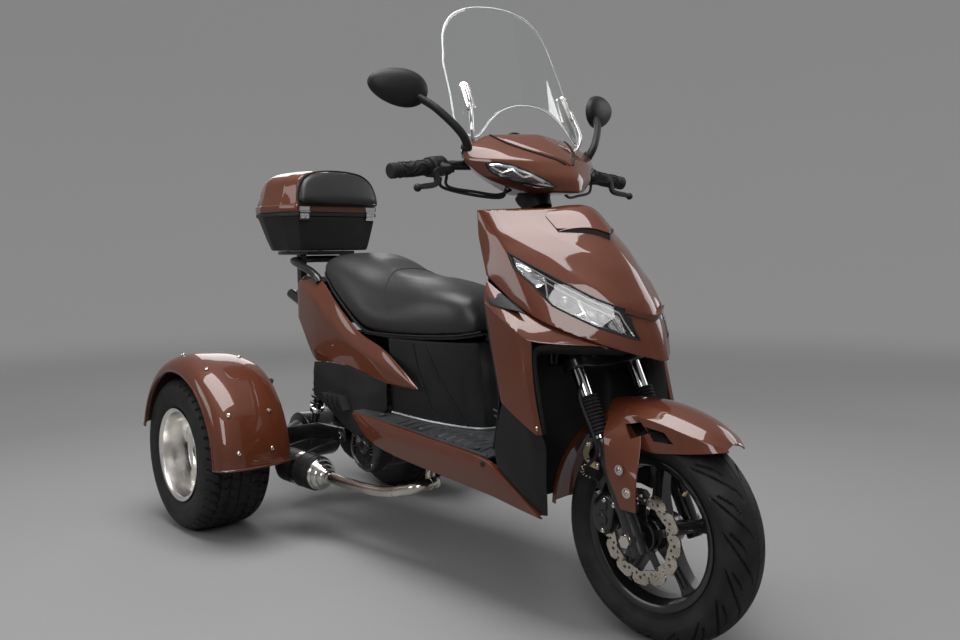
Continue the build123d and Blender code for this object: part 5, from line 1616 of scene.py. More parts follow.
def height_at(line, y):
    """The height of a line of (y, height) at Y."""
    for (ya, ha), (yb, hb) in zip(line, line[1:]):
        if min(ya, yb) <= y <= max(ya, yb) and abs(yb - ya) > 1e-6:
            return ha + (hb - ha) * (y - ya) / (yb - ya)


def windscreen():
    """Clear rolled sheet with a thick pale rim, a painted highlight along its edge."""
    low, top = Vector((312, 0, 1092)), Vector((178, 0, 1413))
    height = (top - low).length
    up = (top - low).normalized()
    ahead = Vector((up.z, 0, -up.x))

    def on_sheet(y, h, depth=0.0):
        y = max(min(y, 400), -400)
        back = SCREEN_ROLL - (SCREEN_ROLL ** 2 - y ** 2) ** 0.5
        return low + Vector((36, 0, 0)) + up * h + ahead * (-back - depth) + Vector((0, y, 0))
    right = [(196, 62), (190, 120), (186, 200), (180, height - 120), (168, height - 66), (140, height - 26),
             (96, height - 7),
             (40, height - 1), (0, height)]
    low_edge = [(0, 84), (44, 80), (86, 66), (118, 44), (140, 22), (158, 8), (176, 14), (190, 34),
                (196, 62)]
    outer = [(p.x, p.y) for p in smooth_path([(a, b, 0) for a, b in right], 5)]
    inner = [(p.x, p.y) for p in smooth_path([(a, b, 0) for a, b in low_edge], 5)]
    spans = []
    for i in range(61):
        y = SCREEN_HALF * sin(pi / 2 * (i / 60))
        bottom, high = height_at(inner, y), height_at(outer[::-1], y)
        if bottom is not None and high is not None:
            spans.append((y, bottom, high))
    rows = []
    for sign, part in ((-1, spans[::-1]), (1, spans[1:])):
        for y, a, b in part:
            rows.append([on_sheet(sign * y, a + (b - a) * k / 30) for k in range(31)])
    sheet = grid("screen_sheet", rows)
    outward_normals(sheet, (0, 0, 1200))
    thicken(sheet, 3.6, round_edge=0.9)
    dress(sheet, ACRYLIC, "steering", ["windscreen"], angle=30)
    border = [on_sheet(y, a, 1.8) for y, a, b in spans] + [on_sheet(y, b, 1.8) for y, a, b in spans[::-1]]
    left = [on_sheet(-y, b, 1.8) for y, a, b in spans[1:]] + [on_sheet(-y, a, 1.8) for y, a,
                                                              b in spans[::-1][:-1]]
    # The rim is a painted highlight: an opaque pale band where the acrylic's edge catches light.
    dress(tube("screen_rim", border + left, 2.1, 8, closed=True), EDGE, "steering")


def screen_posts():
    """Bent chrome rods and their capsule plates on the screen."""
    rods, plates = [], []
    for side in (-1, 1):
        points = [(292, side * 150, 1044), (318, side * 176, 1096), (300, side * 166, 1160),
                  (278, side * 163, 1204)]
        rods.append(tube("post", smooth_path(points, 6), 4.6, 12))
        middle = Vector((287, side * 163.5, 1180))
        up = (Vector(points[3]) - Vector(points[2])).normalized()
        outward = Vector((cos(radians(24)), side * 0.36, sin(radians(24)))).normalized()
        across = up.cross(outward).normalized()
        rows = []
        for height, radius in ((-4.5, 10.5), (-3.5, 12), (2.5, 12), (4.2, 10.5), (4.8, 7.5)):
            row = []
            for y, z in ring(radius, 40):
                z += 26 if z >= 0 else -26
                row.append(middle + across * y + up * z + outward * height)
            rows.append(row)
        plates.append(grid("capsule", rows, closed=True, caps=True))
        for z in (-24, 24):
            plates.append(bolt(middle + up * z + outward * 4.5, outward, 5, 2.5))
    dress(join("screen_rods", rods), CHROME, "steering", ["screen_posts"])
    dress(join("screen_plates", plates), ALLOY, "steering")


def mirrors():
    """Egg-shaped heads with a seam and glass, on curved stems with boots."""
    for side in (-1, 1):
        path = smooth_path([(318, side * 186, 1040), (330, side * 212, 1084), (302, side * 258, 1138),
                            (268, side * 286, 1168),
                            (252, side * 300, 1182)], 6)
        stem = tube("mirror_stem", path, 9, 18, scale=lambda t: 1.15 - 0.28 * t)
        boot = turned_on("boot", [(-6, 15), (2, 16), (8, 14), (12, 15.5), (18, 12.5), (24, 13.5),
                                  (30, 10.5)],
                         (318, side * 186, 1042), (0.2, side * 0.5, 0.84), 24)
        dress(join("mirror_stems", [stem, boot]), BLACK, "steering", ["mirrors"] if side < 0 else ())
        centre = Vector((243, side * 322, 1190))
        turn = Matrix.Rotation(radians(side * 18), 3, "Z") @ Matrix.Rotation(radians(side * 8), 3, "X")
        ahead, wide, tall = turn @ Vector((1, 0, 0)), turn @ Vector((0, 1, 0)), turn @ Vector((0, 0, 1))
        rows = []
        for along, grow in ((-5, 0.90), (-4.5, 0.97), (-2, 1.0), (3, 1.0), (8, 0.97), (14, 0.87),
                            (19, 0.68), (22.5, 0.42),
                            (24, 0.12)):
            row = []
            for a in around(40):
                y, z = 70 * cos(a) * (1 + 0.05 * side * cos(a)), 42 * sin(a) * (1 - 0.12 * side * cos(a))
                row.append(centre + ahead * along + wide * (y * grow) + tall * (z * grow))
            rows.append(row)
        head = grid("mirror_head", rows, closed=True, caps=True)
        subdivided(head, 1)
        dress(head, BLACK, "steering", angle=50)
        rows = []
        for along, grow in ((-4.0, 0.0), (-5.2, 0.5), (-5.8, 0.87), (-5.4, 0.9)):
            rows.append([centre + ahead * along + wide * (70 * grow * cos(a) + 0.01)
                         + tall * (42 * grow * sin(a) * (1 - 0.12 * side * cos(a))) for a in around(40)])
        glass = grid("mirror_glass", rows, closed=True)
        dress(glass, CHROME, "steering")


def grips_and_levers():
    """Ribbed grips, switch housings, ball-ended levers and cables."""
    for side in (-1, 1):
        inner, end = Vector((266, side * 200, 1024)), Vector((281, side * 372, 1003))
        along = (end - inner).normalized()
        start = inner + along * 64
        total = (end - start).length + 6
        profile = [(0, 21.5), (6, 22), (7, 18), (12, 16.6)]
        steps = 30
        for i in range(steps):
            s = 12 + (total - 34) * i / steps
            profile.append((s, 16.6 + (0.9 if i % 3 == 1 else -0.2)))
        profile += [(total - 20, 16.4), (total - 18, 14), (total - 16, 14), (total - 14, 17.5),
                    (total - 3, 17.2), (total, 14), (total, 3)]
        dress(turned_on("grip", profile, start, along, 36), RUBBER, "steering",
              ["grips"] if side < 0 else ())
        ribs = []
        normal = along.orthogonal().normalized()
        other = along.cross(normal)
        for start_angle in around(8):
            path = []
            for i in range(25):
                t = i / 24
                a = start_angle + 0.55 * sin(t * 2 * pi)
                path.append(start + along * (16 + (total - 42) * t)
                            + (normal * cos(a) + other * sin(a)) * 17.0)
            ribs.append(tube("rib", path, 1.5, 6))
        dress(join("grip_ribs", ribs), RUBBER, "steering")
        housing_end = start - along
        housing = turned_on("housing", [(-41, 15), (-40, 21), (-36, 23.5), (-22, 24), (-21, 23), (-20, 24),
                                        (-4, 23.6), (0, 20), (0.4, 14)],
                            housing_end, along, 36)
        middle = housing_end - along * 22
        bracket = turned_on("bracket", [(12, 13), (30, 13), (44, 12), (49, 8)], middle, (40, 0, -9), 24)
        pivot = middle + Vector((40, 0, -9))
        points = [pivot + Vector((5, -side * 8, 1)), pivot + Vector((15, side * 20, -3)),
                  pivot + Vector((13, side * 42, -8)),
                  Vector((328, side * 288, 976)), Vector((334, side * 330, 968)),
                  Vector((335, side * 342, 965.5))]
        path = smooth_path(points, 6)
        blade = sweep("blade", path, [(-4, -6.5), (4, -6.5), (5, 0), (4, 6.5), (-4, 6.5), (-5, 0)],
                      scale=lambda t: 1.25 - 0.55 * t)
        ball = turned_on("ball", [(-9, 0.5), (-8.3, 3.5), (-6, 6.6), (-3, 8.5), (0, 9), (3, 8.5), (6, 6.6),
                                  (8.3, 3.5), (9, 0.5)],
                         (335, side * 344, 965), (0.1, side, -0.1), 24)
        cap = bolt(pivot + Vector((4, 0, 6)), (0, 0, 1), 8, 4)
        dress(join("lever", [housing, bracket, blade, ball, cap]), BLACK, "steering",
              ["levers"] if side < 0 else ())
        bar = tube("bar", [inner - along * 10, inner + along * 30, start], 11, 20)
        dress(bar, SATIN, "steering")
        switches = [turned_on("switch", [(20, 5), (27, 5), (28, 3.5)], housing_end + along * a,
                              (-0.8, 0, 0.6), 14)
                    for a in (-12, -26)]
        dress(join("switches", switches), DARK, "steering")
        cable = [middle + Vector((30, side * -4, -20)), middle + Vector((28, -side * 10, -46)),
                 Vector((318, side * 168, 962)),
                 Vector((336, side * 118, 956)), Vector((346, side * 84, 968))]
        dress(tube("cable_" + ("right" if side < 0 else "left"), smooth_path(cable, 8), 3.4, 10), RUBBER,
              "steering")


nacelle()
windscreen()
screen_posts()
mirrors()
grips_and_levers()


# ---------------------------------------------------------------- fork
FORK_AHEAD, FORK_ASIDE = 38, 92


def block(name, outline, centre, layers, rim, creases=None):
    """A rounded body: an outline in X and Z, scaled about a centre at each (Y, scale)."""
    cx, cz = centre
    rows = [[(cx + (x - cx) * grow, y, cz + (z - cz) * grow) for x, z in outline] for y, grow in layers]
    return solid_cage(name, rows, creases, rim=rim)


def fork_parts():
    """Fork legs, gaiters, chrome tubes, crown with stem, and the hose bracket."""
    sleeves, boots, chromes, bolts = [], [], [], []
    for side in (-1, 1):
        y = side * FORK_ASIDE
        stations = [(-36, 15), (-34, 18.4), (-6, 19), (60, 19), (64, 19.8), (74, 19.8), (78, 19), (196, 19),
                    (200, 20.4),
                    (211, 20.4), (214, 18)]
        sleeves.append(steered_tube("leg", FORK_AHEAD, y, stations, 40))
        profile = [(222, 16)]
        for i in range(11):
            base = 222 + 8 * i
            profile += [(base + 1.2, 19.5), (base + 3.0, 23.2), (base + 4.4, 23.6), (base + 5.8, 23.0),
                        (base + 7.4, 19.0)]
        profile.append((310, 16))
        boots.append(steered_tube("boot", FORK_AHEAD, y, profile, 40))
        boots.append(steered_tube("clip", FORK_AHEAD, y, [(304, 16), (305, 19.5), (309, 19.5), (310, 16)],
                                  32))
        chromes.append(steered_tube("tube", FORK_AHEAD, y, [(215.3, 14.2), (216, 15), (371, 15),
                                                            (371.5, 14)], 40))
        lug = turned_on("lug", [(-17, 17), (-16, 20.5), (16, 20.5), (17, 17)],
                        (FRONT_HUB[0], y, FRONT_HUB[2]), (0, 1, 0), 40)
        sleeves.append(lug)
        bolts.append(hex_bolt((FRONT_HUB[0], side * 113, FRONT_HUB[2]), (0, side, 0), 11, 7))
    dress(join("fork_sleeves", sleeves), SATIN, "steering", ["fork_legs"])
    dress(join("fork_gaiters", boots), RUBBER, "steering", ["fork_boots"])
    dress(join("fork_tubes", chromes), CHROME, "steering")
    dress(join("axle_nuts", bolts), STEEL, "steering")
    rows = []
    for z in (372.3, 374, 396, 397.7):
        inset = 2 if z in (372.3, 397.7) else 0
        half = [(-28 + inset, 0), (-28 + inset, 38), (-4, 84), (12, 112 - inset), (38, 116 - inset),
                (60 - inset, 112 - inset),
                (62 - inset, 92), (50, 60), (40, 30), (38, 0)]
        rows.append([steered(x, y, z) for x, y in half + [(x, -y) for x, y in reversed(half[1:-1])]])
    crown = [solid_cage("crown", rows, row_creases={0: 0.5, 3: 0.5, 1: 0.5, 2: 0.5}, rim=0.6)]
    crown.append(steered_tube("stem", 0, 0, [(397, 23), (419, 23.8), (419.5, 16), (861, 16), (861.5, 12)],
                              40))
    dress(join("fork_crown", crown), SATIN, "steering", ["fork_yoke"])

    path = [steered(22, -113, 216), steered(16, -116, 206), steered(6, -117, 194), steered(8, -116, 176),
            steered(26, -113, 160)]
    bracket = sweep("hose_bracket", smooth_path(path, 4), strip(7, 1.3), up=(0, 1, 0))
    heads = [bolt(steered(24, -114.5, 163), (0, -1, 0), 5.5, 4),
             bolt(steered(19, -116, 212), (0, -1, 0), 5, 4)]
    dress(bracket, GOLD, "steering")
    dress(join("bracket_bolts", heads), STEEL, "steering")


def caliper():
    """Two-piston caliper behind the leg with its carrier, pad pins and banjo bolt."""
    pieces = []
    outline = [(612, 298), (628, 314), (650, 322), (668, 316), (676, 298), (672, 268), (664, 240),
               (650, 226), (630, 226),
               (614, 240), (606, 268)]
    centre = (640, 272)
    layers = ((-101, 0.7), (-100, 0.86), (-96, 0.95), (-84, 1.0), (-74, 0.98), (-72, 0.9))
    pieces.append(block("caliper_outer", outline, centre, layers, 0.3))
    for z in (262, 292):
        pieces.append(turned_on("piston", [(0, 14), (4, 14), (5, 11), (3.5, 9), (3.5, 1)], (642, -99, z),
                                (0, -1, 0), 28))
    pieces.append(block("caliper_inner", outline, centre, ((-60, 0.8), (-59, 0.9), (-46, 0.9), (-44, 0.8)),
                        0.3))
    for z in (286, 256):
        pieces.append(tube("bridge", [(612, -88, z), (606, -72, z), (612, -54, z)], 9, 12))
    dress(join("caliper_body", pieces), SATIN, "steering", ["brake_caliper"])
    heads = [bolt((650, -101, 306), (0, -1, 0), 6, 5), bolt((646, -101, 240), (0, -1, 0), 6, 5),
             bolt((676, -101, 300), (0, -1, 0), 7, 5),
             hex_bolt((628, -96, 318), (0, -0.6, 0.8), 7, 6)]
    dress(join("caliper_bolts", heads), STEEL, "steering")


def hose():
    """The two brake hoses and the spring around the lower one."""
    side = -127
    local = [(50, -106, 371.7), (50, -106, 338), (50, side, 300), (50, side, 190), (-10, side, 165),
             (-10, -96, 140),
             (-10, -96, 109)]
    lower = tube("hose_low", smooth_path([steered(*p) for p in local], 8), 3.2, 12)
    upper = tube("hose_top", smooth_path([(284, -242, 994), (286, -238, 972), (312, -176, 956),
                                          (338, -110, 950), (344, -98, 970)],
                                         8), 3.6, 12)
    dress(join("brake_hoses", [lower, upper]), RUBBER, "steering", ["brake_hose"])
    sleeve = []
    path = smooth_path([steered(*p) for p in local[3:6]], 10)
    for i in range(4, len(path) - 3, 2):
        sleeve.append(tube("coil", [path[i], path[i] + (path[i + 1] - path[i]) * 0.5], 4.4, 10))
    dress(join("hose_spring", sleeve), STEEL, "steering")


# ---------------------------------------------------------------- power unit
FAN_CENTRE = (-206, -92, 286)
SWING_PIVOT = (-318, 0, 302)
SHOCK_TOP, SHOCK_LOW, SHOCK_ASIDE = (-404, 591), (-490, 312), 127
COIL_TURNS, COIL_START, COIL_END, COIL_R = 9, 58, 246, 18.5
MUFFLER_START, MUFFLER_AWAY = Vector((-300.3, -190, 190)), Vector((-100, -6, 2))


def engine():
    """Castings, finned cylinder, louvred fan cover, carburettor and lines."""
    pieces = []
    outline = [(-130, 236), (-112, 300), (-160, 378), (-330, 398), (-418, 360), (-428, 238), (-300, 202)]
    layers = ((-93, 0.86), (-91, 0.95), (-84, 0.99), (-40, 1.0), (20, 1.0), (60, 0.98), (65, 0.9))
    pieces.append(block("crankcase", outline, (-270, 300), layers, 0.4, {k: 0.3 for k in range(7)}))
    outline = [(-152, 242), (-148, 318), (-210, 354), (-420, 328), (-498, 318), (-518, 252), (-420, 214),
               (-190, 206)]
    layers = ((66, 0.98), (90, 0.98), (98, 0.95), (101.5, 0.86), (101.8, 0.6))
    pieces.append(block("drive_case", outline, (-330, 280), layers, 0.3, {k: 0.3 for k in range(8)}))
    for i in range(6):
        z = 236 + 15 * i
        pieces.append(tube("case_rib", [(-470 + 10 * i, 101.5, z), (-330, 102, z + 6),
                                        (-190, 101.5, z + 2)], 2.5, 8))
    rows = [[(x, y, z) for y, z in ((-50, 258), (50, 258), (50, 342), (-50, 342))] for x in (-110, -10)]
    pieces.append(solid_cage("cylinder", rows, levels=1))
    for i in range(9):
        x = -105 + 10.5 * i
        section = [(x, y, z) for y, z in ((-60, 242), (60, 242), (66, 252), (66, 348), (58, 358),
                                          (-58, 358), (-66, 348), (-66, 252))]
        pieces.append(solid_cage("fin", [section, [(x + 3, y, z) for _, y, z in section]], levels=1))
    dress(join("engine_castings", pieces), CAST, "chassis", ["engine"], angle=34)

    parts = []
    centre = Vector(FAN_CENTRE)
    parts.append(turned_on("fan_case", [(0, 71), (34, 71.5), (44, 69), (50, 64), (52, 58), (53.5, 54),
                                        (51, 50), (44, 48), (44, 2)],
                           centre, (0, -1, 0), 72))
    for a in around(28):
        start = centre + Vector((cos(a) * 18, -48, sin(a) * 18))
        stop = centre + Vector((cos(a + 0.35) * 50, -49.5, sin(a + 0.35) * 50))
        middle = (start + stop) / 2 + Vector((0, -2.5, 0))
        parts.append(tube("louvre", smooth_path([start, middle, stop], 4), 1.9, 8))
    for a in around(40):
        parts.append(tube("fin", [centre + Vector((cos(a) * 71.5, y, sin(a) * 71.5)) for y in (-10, -40)],
                          1.6, 6))
    parts.append(turned_on("fan_middle", [(44, 20), (50, 20), (52.5, 17), (53.5, 10), (53.8, 1)], centre,
                           (0, -1, 0), 40))
    dress(join("fan_cover", parts), SATIN, "chassis")
    heads = [hex_bolt(centre + Vector((62 * cos(a), -48, 62 * sin(a))), (0, -1, 0), 5, 6)
             for a in (radians(45 + 90 * i) for i in range(4))]
    heads += [hex_bolt((x, -92, z), (0, -1, 0), 6, 8) for x, z in ((-140, 330), (-330, 376), (-400, 300))]
    plug = turned_on("plug_cap", [(0, 9), (18, 9), (22, 7), (30, 7)], (-12, -20, 320), (0.5, -0.6, 0.6), 20)
    dress(join("engine_bolts", heads), STEEL, "chassis")
    dress(plug, RUBBER, "chassis")
    intake = tube("intake", smooth_path([(-160, -20, 384), (-180, -60, 410), (-240, -96, 418),
                                         (-310, -104, 410)], 6), 17, 18,
                  scale=lambda t: 0.8 + 0.35 * t)
    carb = turned_on("carburettor", [(-22, 16), (-20, 22), (16, 22), (20, 16), (30, 14)], (-250, -108, 418),
                     (-1, -0.1, -0.1), 28)
    bowl = turned_on("bowl", [(0, 16), (14, 15), (20, 10), (22, 4)], (-250, -108, 404), (0, 0, -1), 24)
    dress(intake, RUBBER, "chassis")
    dress(join("carburettor", [carb, bowl]), ALLOY, "chassis")
    lines = [tube("line", smooth_path(p, 6), 3.2, 8) for p in (
        [(-250, -104, 432), (-236, -124, 450), (-190, -126, 446), (-150, -118, 420)],
        [(-330, -98, 372), (-318, -128, 390), (-284, -134, 384), (-262, -126, 404)],
        [(-395, -98, 320), (-372, -132, 350), (-332, -130, 362), (-300, -120, 394)])]
    dress(join("engine_lines", lines), RUBBER, "chassis")


def rear_axle():
    """Axle housing with its arms, bolts and fender stays."""
    pieces = []
    hub = REAR_AXLE
    stations = [(-317, 14), (-316, 31), (-304, 32), (-300, 30), (-120, 30), (-100, 36), (-62, 52),
                (-56, 74), (-52, 76), (52, 76), (56, 74),
                (62, 52), (100, 36), (120, 30), (300, 30), (304, 32), (316, 31), (317, 14)]
    pieces.append(turned_on("housing", stations, hub, (0, 1, 0), 56))
    for side in (-1, 1):
        pieces.append(turned_on("flange", [(312, 30), (313, 76), (327.5, 77), (328, 20)], hub, (0, side, 0),
                                56))
        pieces.append(turned_on("spindle", [(320, 15), (376, 15), (378, 13)], hub, (0, side, 0), 28))
    dress(join("axle_housing", pieces), SATIN, "chassis", ["axle_beam"])
    arms, heads = [], []
    for side in (-1, 1):
        outline = [(-741, 263), (-691, 267), (-470, 316), (-322, 321), (-308, 302), (-322, 283),
                   (-470, 276), (-701, 200), (-741, 204)]
        rows = []
        for y, grow in ((121, 0.97), (123, 1.0), (134, 1.0), (136.5, 0.96)):
            cx, cz = -520, 270
            rows.append([(cx + (x - cx) * (1 - (1 - grow) * 0.2), side * y, cz + (z - cz) * grow)
                         for x, z in outline])
        arms.append(solid_cage("arm", rows, {k: 0.6 for k in range(9)}, {0: 0.6, 3: 0.6}, rim=0.7))
        arms.append(turned_on("pivot", [(117, 16), (118, 20), (140, 20), (142, 16), (142.5, 8)],
                              SWING_PIVOT, (0, side, 0), 28))
        heads.append(hex_bolt((SWING_PIVOT[0], side * 141, SWING_PIVOT[2]), (0, side, 0), 9, 7))
        for i in range(4):
            a = radians(45 + 90 * i)
            heads.append(hex_bolt((hub[0] + 62 * cos(a), side * 312, hub[2] + 62 * sin(a)), (0, -side, 0),
                                  6, 6))
    dress(join("axle_arms", arms), SATIN, "chassis")
    dress(join("axle_bolts", heads), STEEL, "chassis")
    stays = []
    (cx, _, cz), reach = REAR_FENDER_CENTRE, 264.5
    for side in (-1, 1):
        for angle, root in ((113.5, (-741, 262)), (54.5, (-680, 262))):
            tip = (cx + reach * cos(radians(angle)), cz + reach * sin(radians(angle)))
            stays.append(tube("stay", [(root[0], side * 256, root[1] - 20), (tip[0], side * 256, tip[1])],
                              7, 12))
    stays += [turned_on("stay_root", [(250, 34), (252, 38), (260, 38), (262, 34), (262, 31)], hub,
                        (0, side, 0), 32) for side in (-1, 1)]
    dress(join("fender_stays", stays), SATIN, "chassis")


def shocks():
    """Coil springs over dampers."""
    coils, rods, collars = [], [], []
    for side in (-1, 1):
        top, low = (Vector((x, side * SHOCK_ASIDE, z)) for x, z in (SHOCK_TOP, SHOCK_LOW))
        up = (top - low).normalized()
        side_way = Vector((0, 1, 0))
        other = up.cross(side_way)
        path = []
        for i in range(COIL_TURNS * 20 + 1):
            a = 2 * pi * i / 20
            s = COIL_START + (COIL_END - COIL_START) * i / (COIL_TURNS * 20)
            path.append(low + up * s + (side_way * cos(a) + other * sin(a)) * COIL_R)
        coils.append(tube("coil", path, 4.0, 10))
        rods.append(turned_on("damper", [(8, 12), (30, 12.5), (120, 12.5), (124, 8), (290, 8)], low, up,
                              28))
        rods.append(turned_on("eye", [(-10, 9), (-9, 12), (9, 12), (10, 9)], top, (0, 1, 0), 24))
        for s in (40, 246):
            collars.append(turned_on("collar", [(s, 14), (s + 0.5, 22), (s + 5, 23), (s + 14, 23),
                                                (s + 16, 20), (s + 16, 14)],
                                     low, up, 32))
    dress(join("shock_coils", coils), SATIN, "chassis", ["rear_shocks"])
    dress(join("shock_bodies", rods), SATIN, "chassis")
    dress(join("shock_collars", collars), ALLOY, "chassis")


def exhaust():
    """Header pipe, stepped cone with clamps, and the muffler can."""
    points = [(-46, -30, 236), (-45, -31, 206), (-10, -52, 208), (40, -80, 224), (84, -124, 237),
              (80, -168, 233), (44, -178, 220),
              (-60, -181, 196), (-200, -184, 188), (-300, -190, 190)]
    path = smooth_path(points, 8)
    pipe = tube("header", path, 15, 28, scale=lambda t: 0.82 + 0.18 * min(t * 1.6, 1))
    seams = []
    for k in (26, 34, 52, 60):
        along = (path[k + 1] - path[k - 1]).normalized()
        seams.append(turned_on("weld", [(-1.8, 13), (-1.2, 15.6), (1.2, 15.6), (1.8, 13)], path[k], along,
                               32))
    dress(join("exhaust_header", [pipe] + seams), STEEL, "chassis", ["exhaust_pipe"])
    start, away = MUFFLER_START, MUFFLER_AWAY
    cone = turned_on("cone", [(0, 15.5), (2, 19), (8, 19), (10, 17), (20, 24), (38, 36), (46, 44), (50, 46),
                              (54, 46), (56, 44)],
                     start, away, 48)
    dress(cone, STEEL, "chassis", ["muffler"])
    clamps = []
    for s in (16, 30, 44):
        radius = 20 + (s - 16) * 0.75 + 3
        clamps.append(turned_on("clamp", [(s - 2, radius - 3), (s - 2, radius), (s + 2, radius + 1.5),
                                          (s + 2, radius - 3)], start, away, 40))
    dress(join("exhaust_clamps", clamps), CHROME, "chassis")
    can = turned_on("can", [(54, 44), (55, 48), (62, 50), (70, 50), (71, 48.6), (74, 48.6), (75, 50),
                            (196, 50), (197, 48.6), (200, 48.6),
                            (201, 50), (212, 50), (222, 45), (229, 38), (230, 30), (224, 26), (224, 15)],
                    start, away, 56)
    dress(can, BLACK, "chassis")
    direction = away.normalized()
    band = turned_on("band", [(120, 50), (120, 51.6), (138, 51.6), (138, 50)], start, direction, 56)
    outlet = turned_on("outlet", [(214, 16), (230, 16), (230, 13), (216, 13)], start, direction, 32)
    bracket = sweep("hanger", smooth_path([start + direction * 129 + Vector((0, 10, 50)),
                                           start + direction * 126 + Vector((20, 40, 66)),
                                           Vector((-360, -128, 282))], 4), strip(12, 2))
    dress(join("muffler_band", [band, outlet]), STEEL, "chassis")
    dress(bracket, SATIN, "chassis")


def grab_rail():
    """Bent rail behind the seat and the carrier under the top box."""
    points = [(-424, 139, 738), (-436, 140, 752), (-475, 139.5, 770), (-520, 138, 782), (-580, 130, 795),
              (-615, 110, 799), (-640, 70, 801),
              (-650, 30, 802), (-651, 0, 802)]
    path = whole(smooth_path(points, 6))
    section = [(13 * cos(a), 11 * sin(a)) for a in around(18)]
    rail = sweep("rail", path, section)
    rows = []
    for z, inset in ((815.7, 2), (817, 0), (826, 0), (827.2, 2)):
        rows.append([(x, y, z) for x, y in ((-580 - inset, -88 + inset), (-580 - inset, 88 - inset),
                                            (-640, 90 - inset), (-740, 90 - inset),
                                            (-780 + inset, 84 - inset), (-780 + inset, -84 + inset),
                                            (-740, -90 + inset), (-640, -90 + inset))])
    carrier = solid_cage("carrier", rows, {k: 0.6 for k in range(8)}, {0: 0.7, 3: 0.7}, rim=0.8)
    feet = [sweep("foot", [(-630, y, 709), (-630, y, 760), (-632, y, 816)], strip(11, 11), up=(1, 0, 0))
            for y in (-78, 78)]
    dress(join("rack", [rail, carrier] + feet), SATIN, "chassis", ["grab_rail"])
    heads = [bolt((x, y, 827), (0, 0, 1), 6, 0.8) for x in (-610, -750) for y in (-60, 60)]
    dress(join("rack_bolts", heads), STEEL, "chassis")


def rider_shield():
    """Rider's side of the front body with a glove pocket line, bag hook and key switch."""
    levels = {
        905: [(338.5, 174.6), (322, 120), (306, 60), (302, 0)],
              830: [(367, 187.8), (340, 130), (318, 64), (312, 0)],
        773: [(393.5, 196), (352, 136), (328, 66), (322, 0)],
              715: [(412.7, 229), (364, 140), (338, 66), (332, 0)],
        640: [(432.7, 232), (372, 142), (348, 66), (342, 0)],
              519: [(465.7, 233), (384, 142), (358, 66), (352, 0)],
        440: [(441.7, 223), (376, 140), (352, 64), (346, 0)],
              392: [(415.7, 210), (370, 138), (348, 62), (342, 0)],
    }
    rows = []
    for z in (905, 900, 870, 830, 800, 773, 745, 715, 680, 640, 580, 519, 480, 440, 400, 392):
        half = at_height(levels, z)
        points = []
        for (xa, ya), (xb, yb) in zip(half, half[1:]):
            points += [(xa, ya), ((xa + xb) / 2, (ya + yb) / 2)]
        points.append(half[-1])
        rows.append(whole([(x, y, z) for x, y in points]))
    panel = panel_of("rider_panel", rows, (800, 0, 640), PANEL_WALL, {1: 0.3, 11: 0.3})
    carve(panel, steered_tube("clear", 0, 0, [(370, 24), (900, 24)], 24))
    dress(panel, DARK, "chassis", ["inner_shield"], angle=30)
    tree = skin_tree(panel)

    def rear_at(y, z, depth=0.0):
        return on_face(tree, y, z, depth, 0, 1)
    outline = [(-60, 700), (60, 700), (84, 660), (76, 580), (40, 556), (-40, 556), (-76, 580), (-84, 660),
               (-60, 700)]
    points = []
    for (ya, za), (yb, zb) in zip(outline, outline[1:]):
        for i in range(6):
            t = i / 6
            points.append(rear_at(ya + (yb - ya) * t, za + (zb - za) * t, -0.6))
    dress(tube("pocket_line", points, 2.0, 8, closed=True), BLACK, "chassis")
    root = rear_at(0, 742, -2)
    path = [rear_at(0, 740, -2)] + [root + Vector(step)
                                    for step in ((-18, 0, -4), (-24, 0, -22), (-34, 0, -16))]
    hook = tube("hook", smooth_path(path, 6), 4, 12)
    key = turned_on("key_switch", [(-2, 20), (2, 20), (4, 17), (4, 8), (2.5, 7), (2.5, 1)],
                    rear_at(88, 800, 0), (-0.9, 0.2, 0.1), 32)
    dress(hook, SATIN, "chassis")
    dress(key, CHROME, "chassis")


def tail_extras():
    """Plate bracket with slots below the tail."""
    rows = []
    for z, x, half in ((698, -549, 60), (680, -549, 60), (640, -549, 60), (604, -549, 60),
                       (600.5, -549, 57)):
        rows.append([(x, -half, z), (x, -half * 0.5, z), (x, 0, z), (x, half * 0.5, z), (x, half, z)])
    plate = panel_of("plate_base", rows, (0, 0, 640), PANEL_WALL)
    for side in (-1, 1):
        hole = turned_on("hole", [(-20, 3.25), (20, 3.25)], (-549, side * 45, 640), (1, 0, 0), 20)
        carve(plate, hole)
    dress(plate, BLACK, "chassis", ["plate_bracket"])


def tail_deck():
    """Dark cover between the tail panels behind the seat."""
    rows = []
    for x, half, z in ((-436, 136, 738), (-450, 136, 742), (-500, 135, 745), (-544, 133, 747),
                       (-552, 132, 744)):
        rows.append([(x, half * k, z + 4 * (1 - k * k)) for k in (-1, -0.9, -0.5, 0, 0.5, 0.9, 1)])
    deck = panel_of("tail_deck", rows, (-490, 0, 400), TRIM_WALL)
    dress(deck, DARK, "chassis")


tail_deck()
fork_parts()
caliper()
hose()
engine()
rear_axle()
shocks()
exhaust()
grab_rail()
rider_shield()
tail_extras()


# ---------------------------------------------------------------- what the CAD model shows itself
for node, obj in frame["nodes"].items():
    obj.data.materials.clear()
    obj.data.materials.append(SLOT_MATERIAL[SLOT_OF[node]])


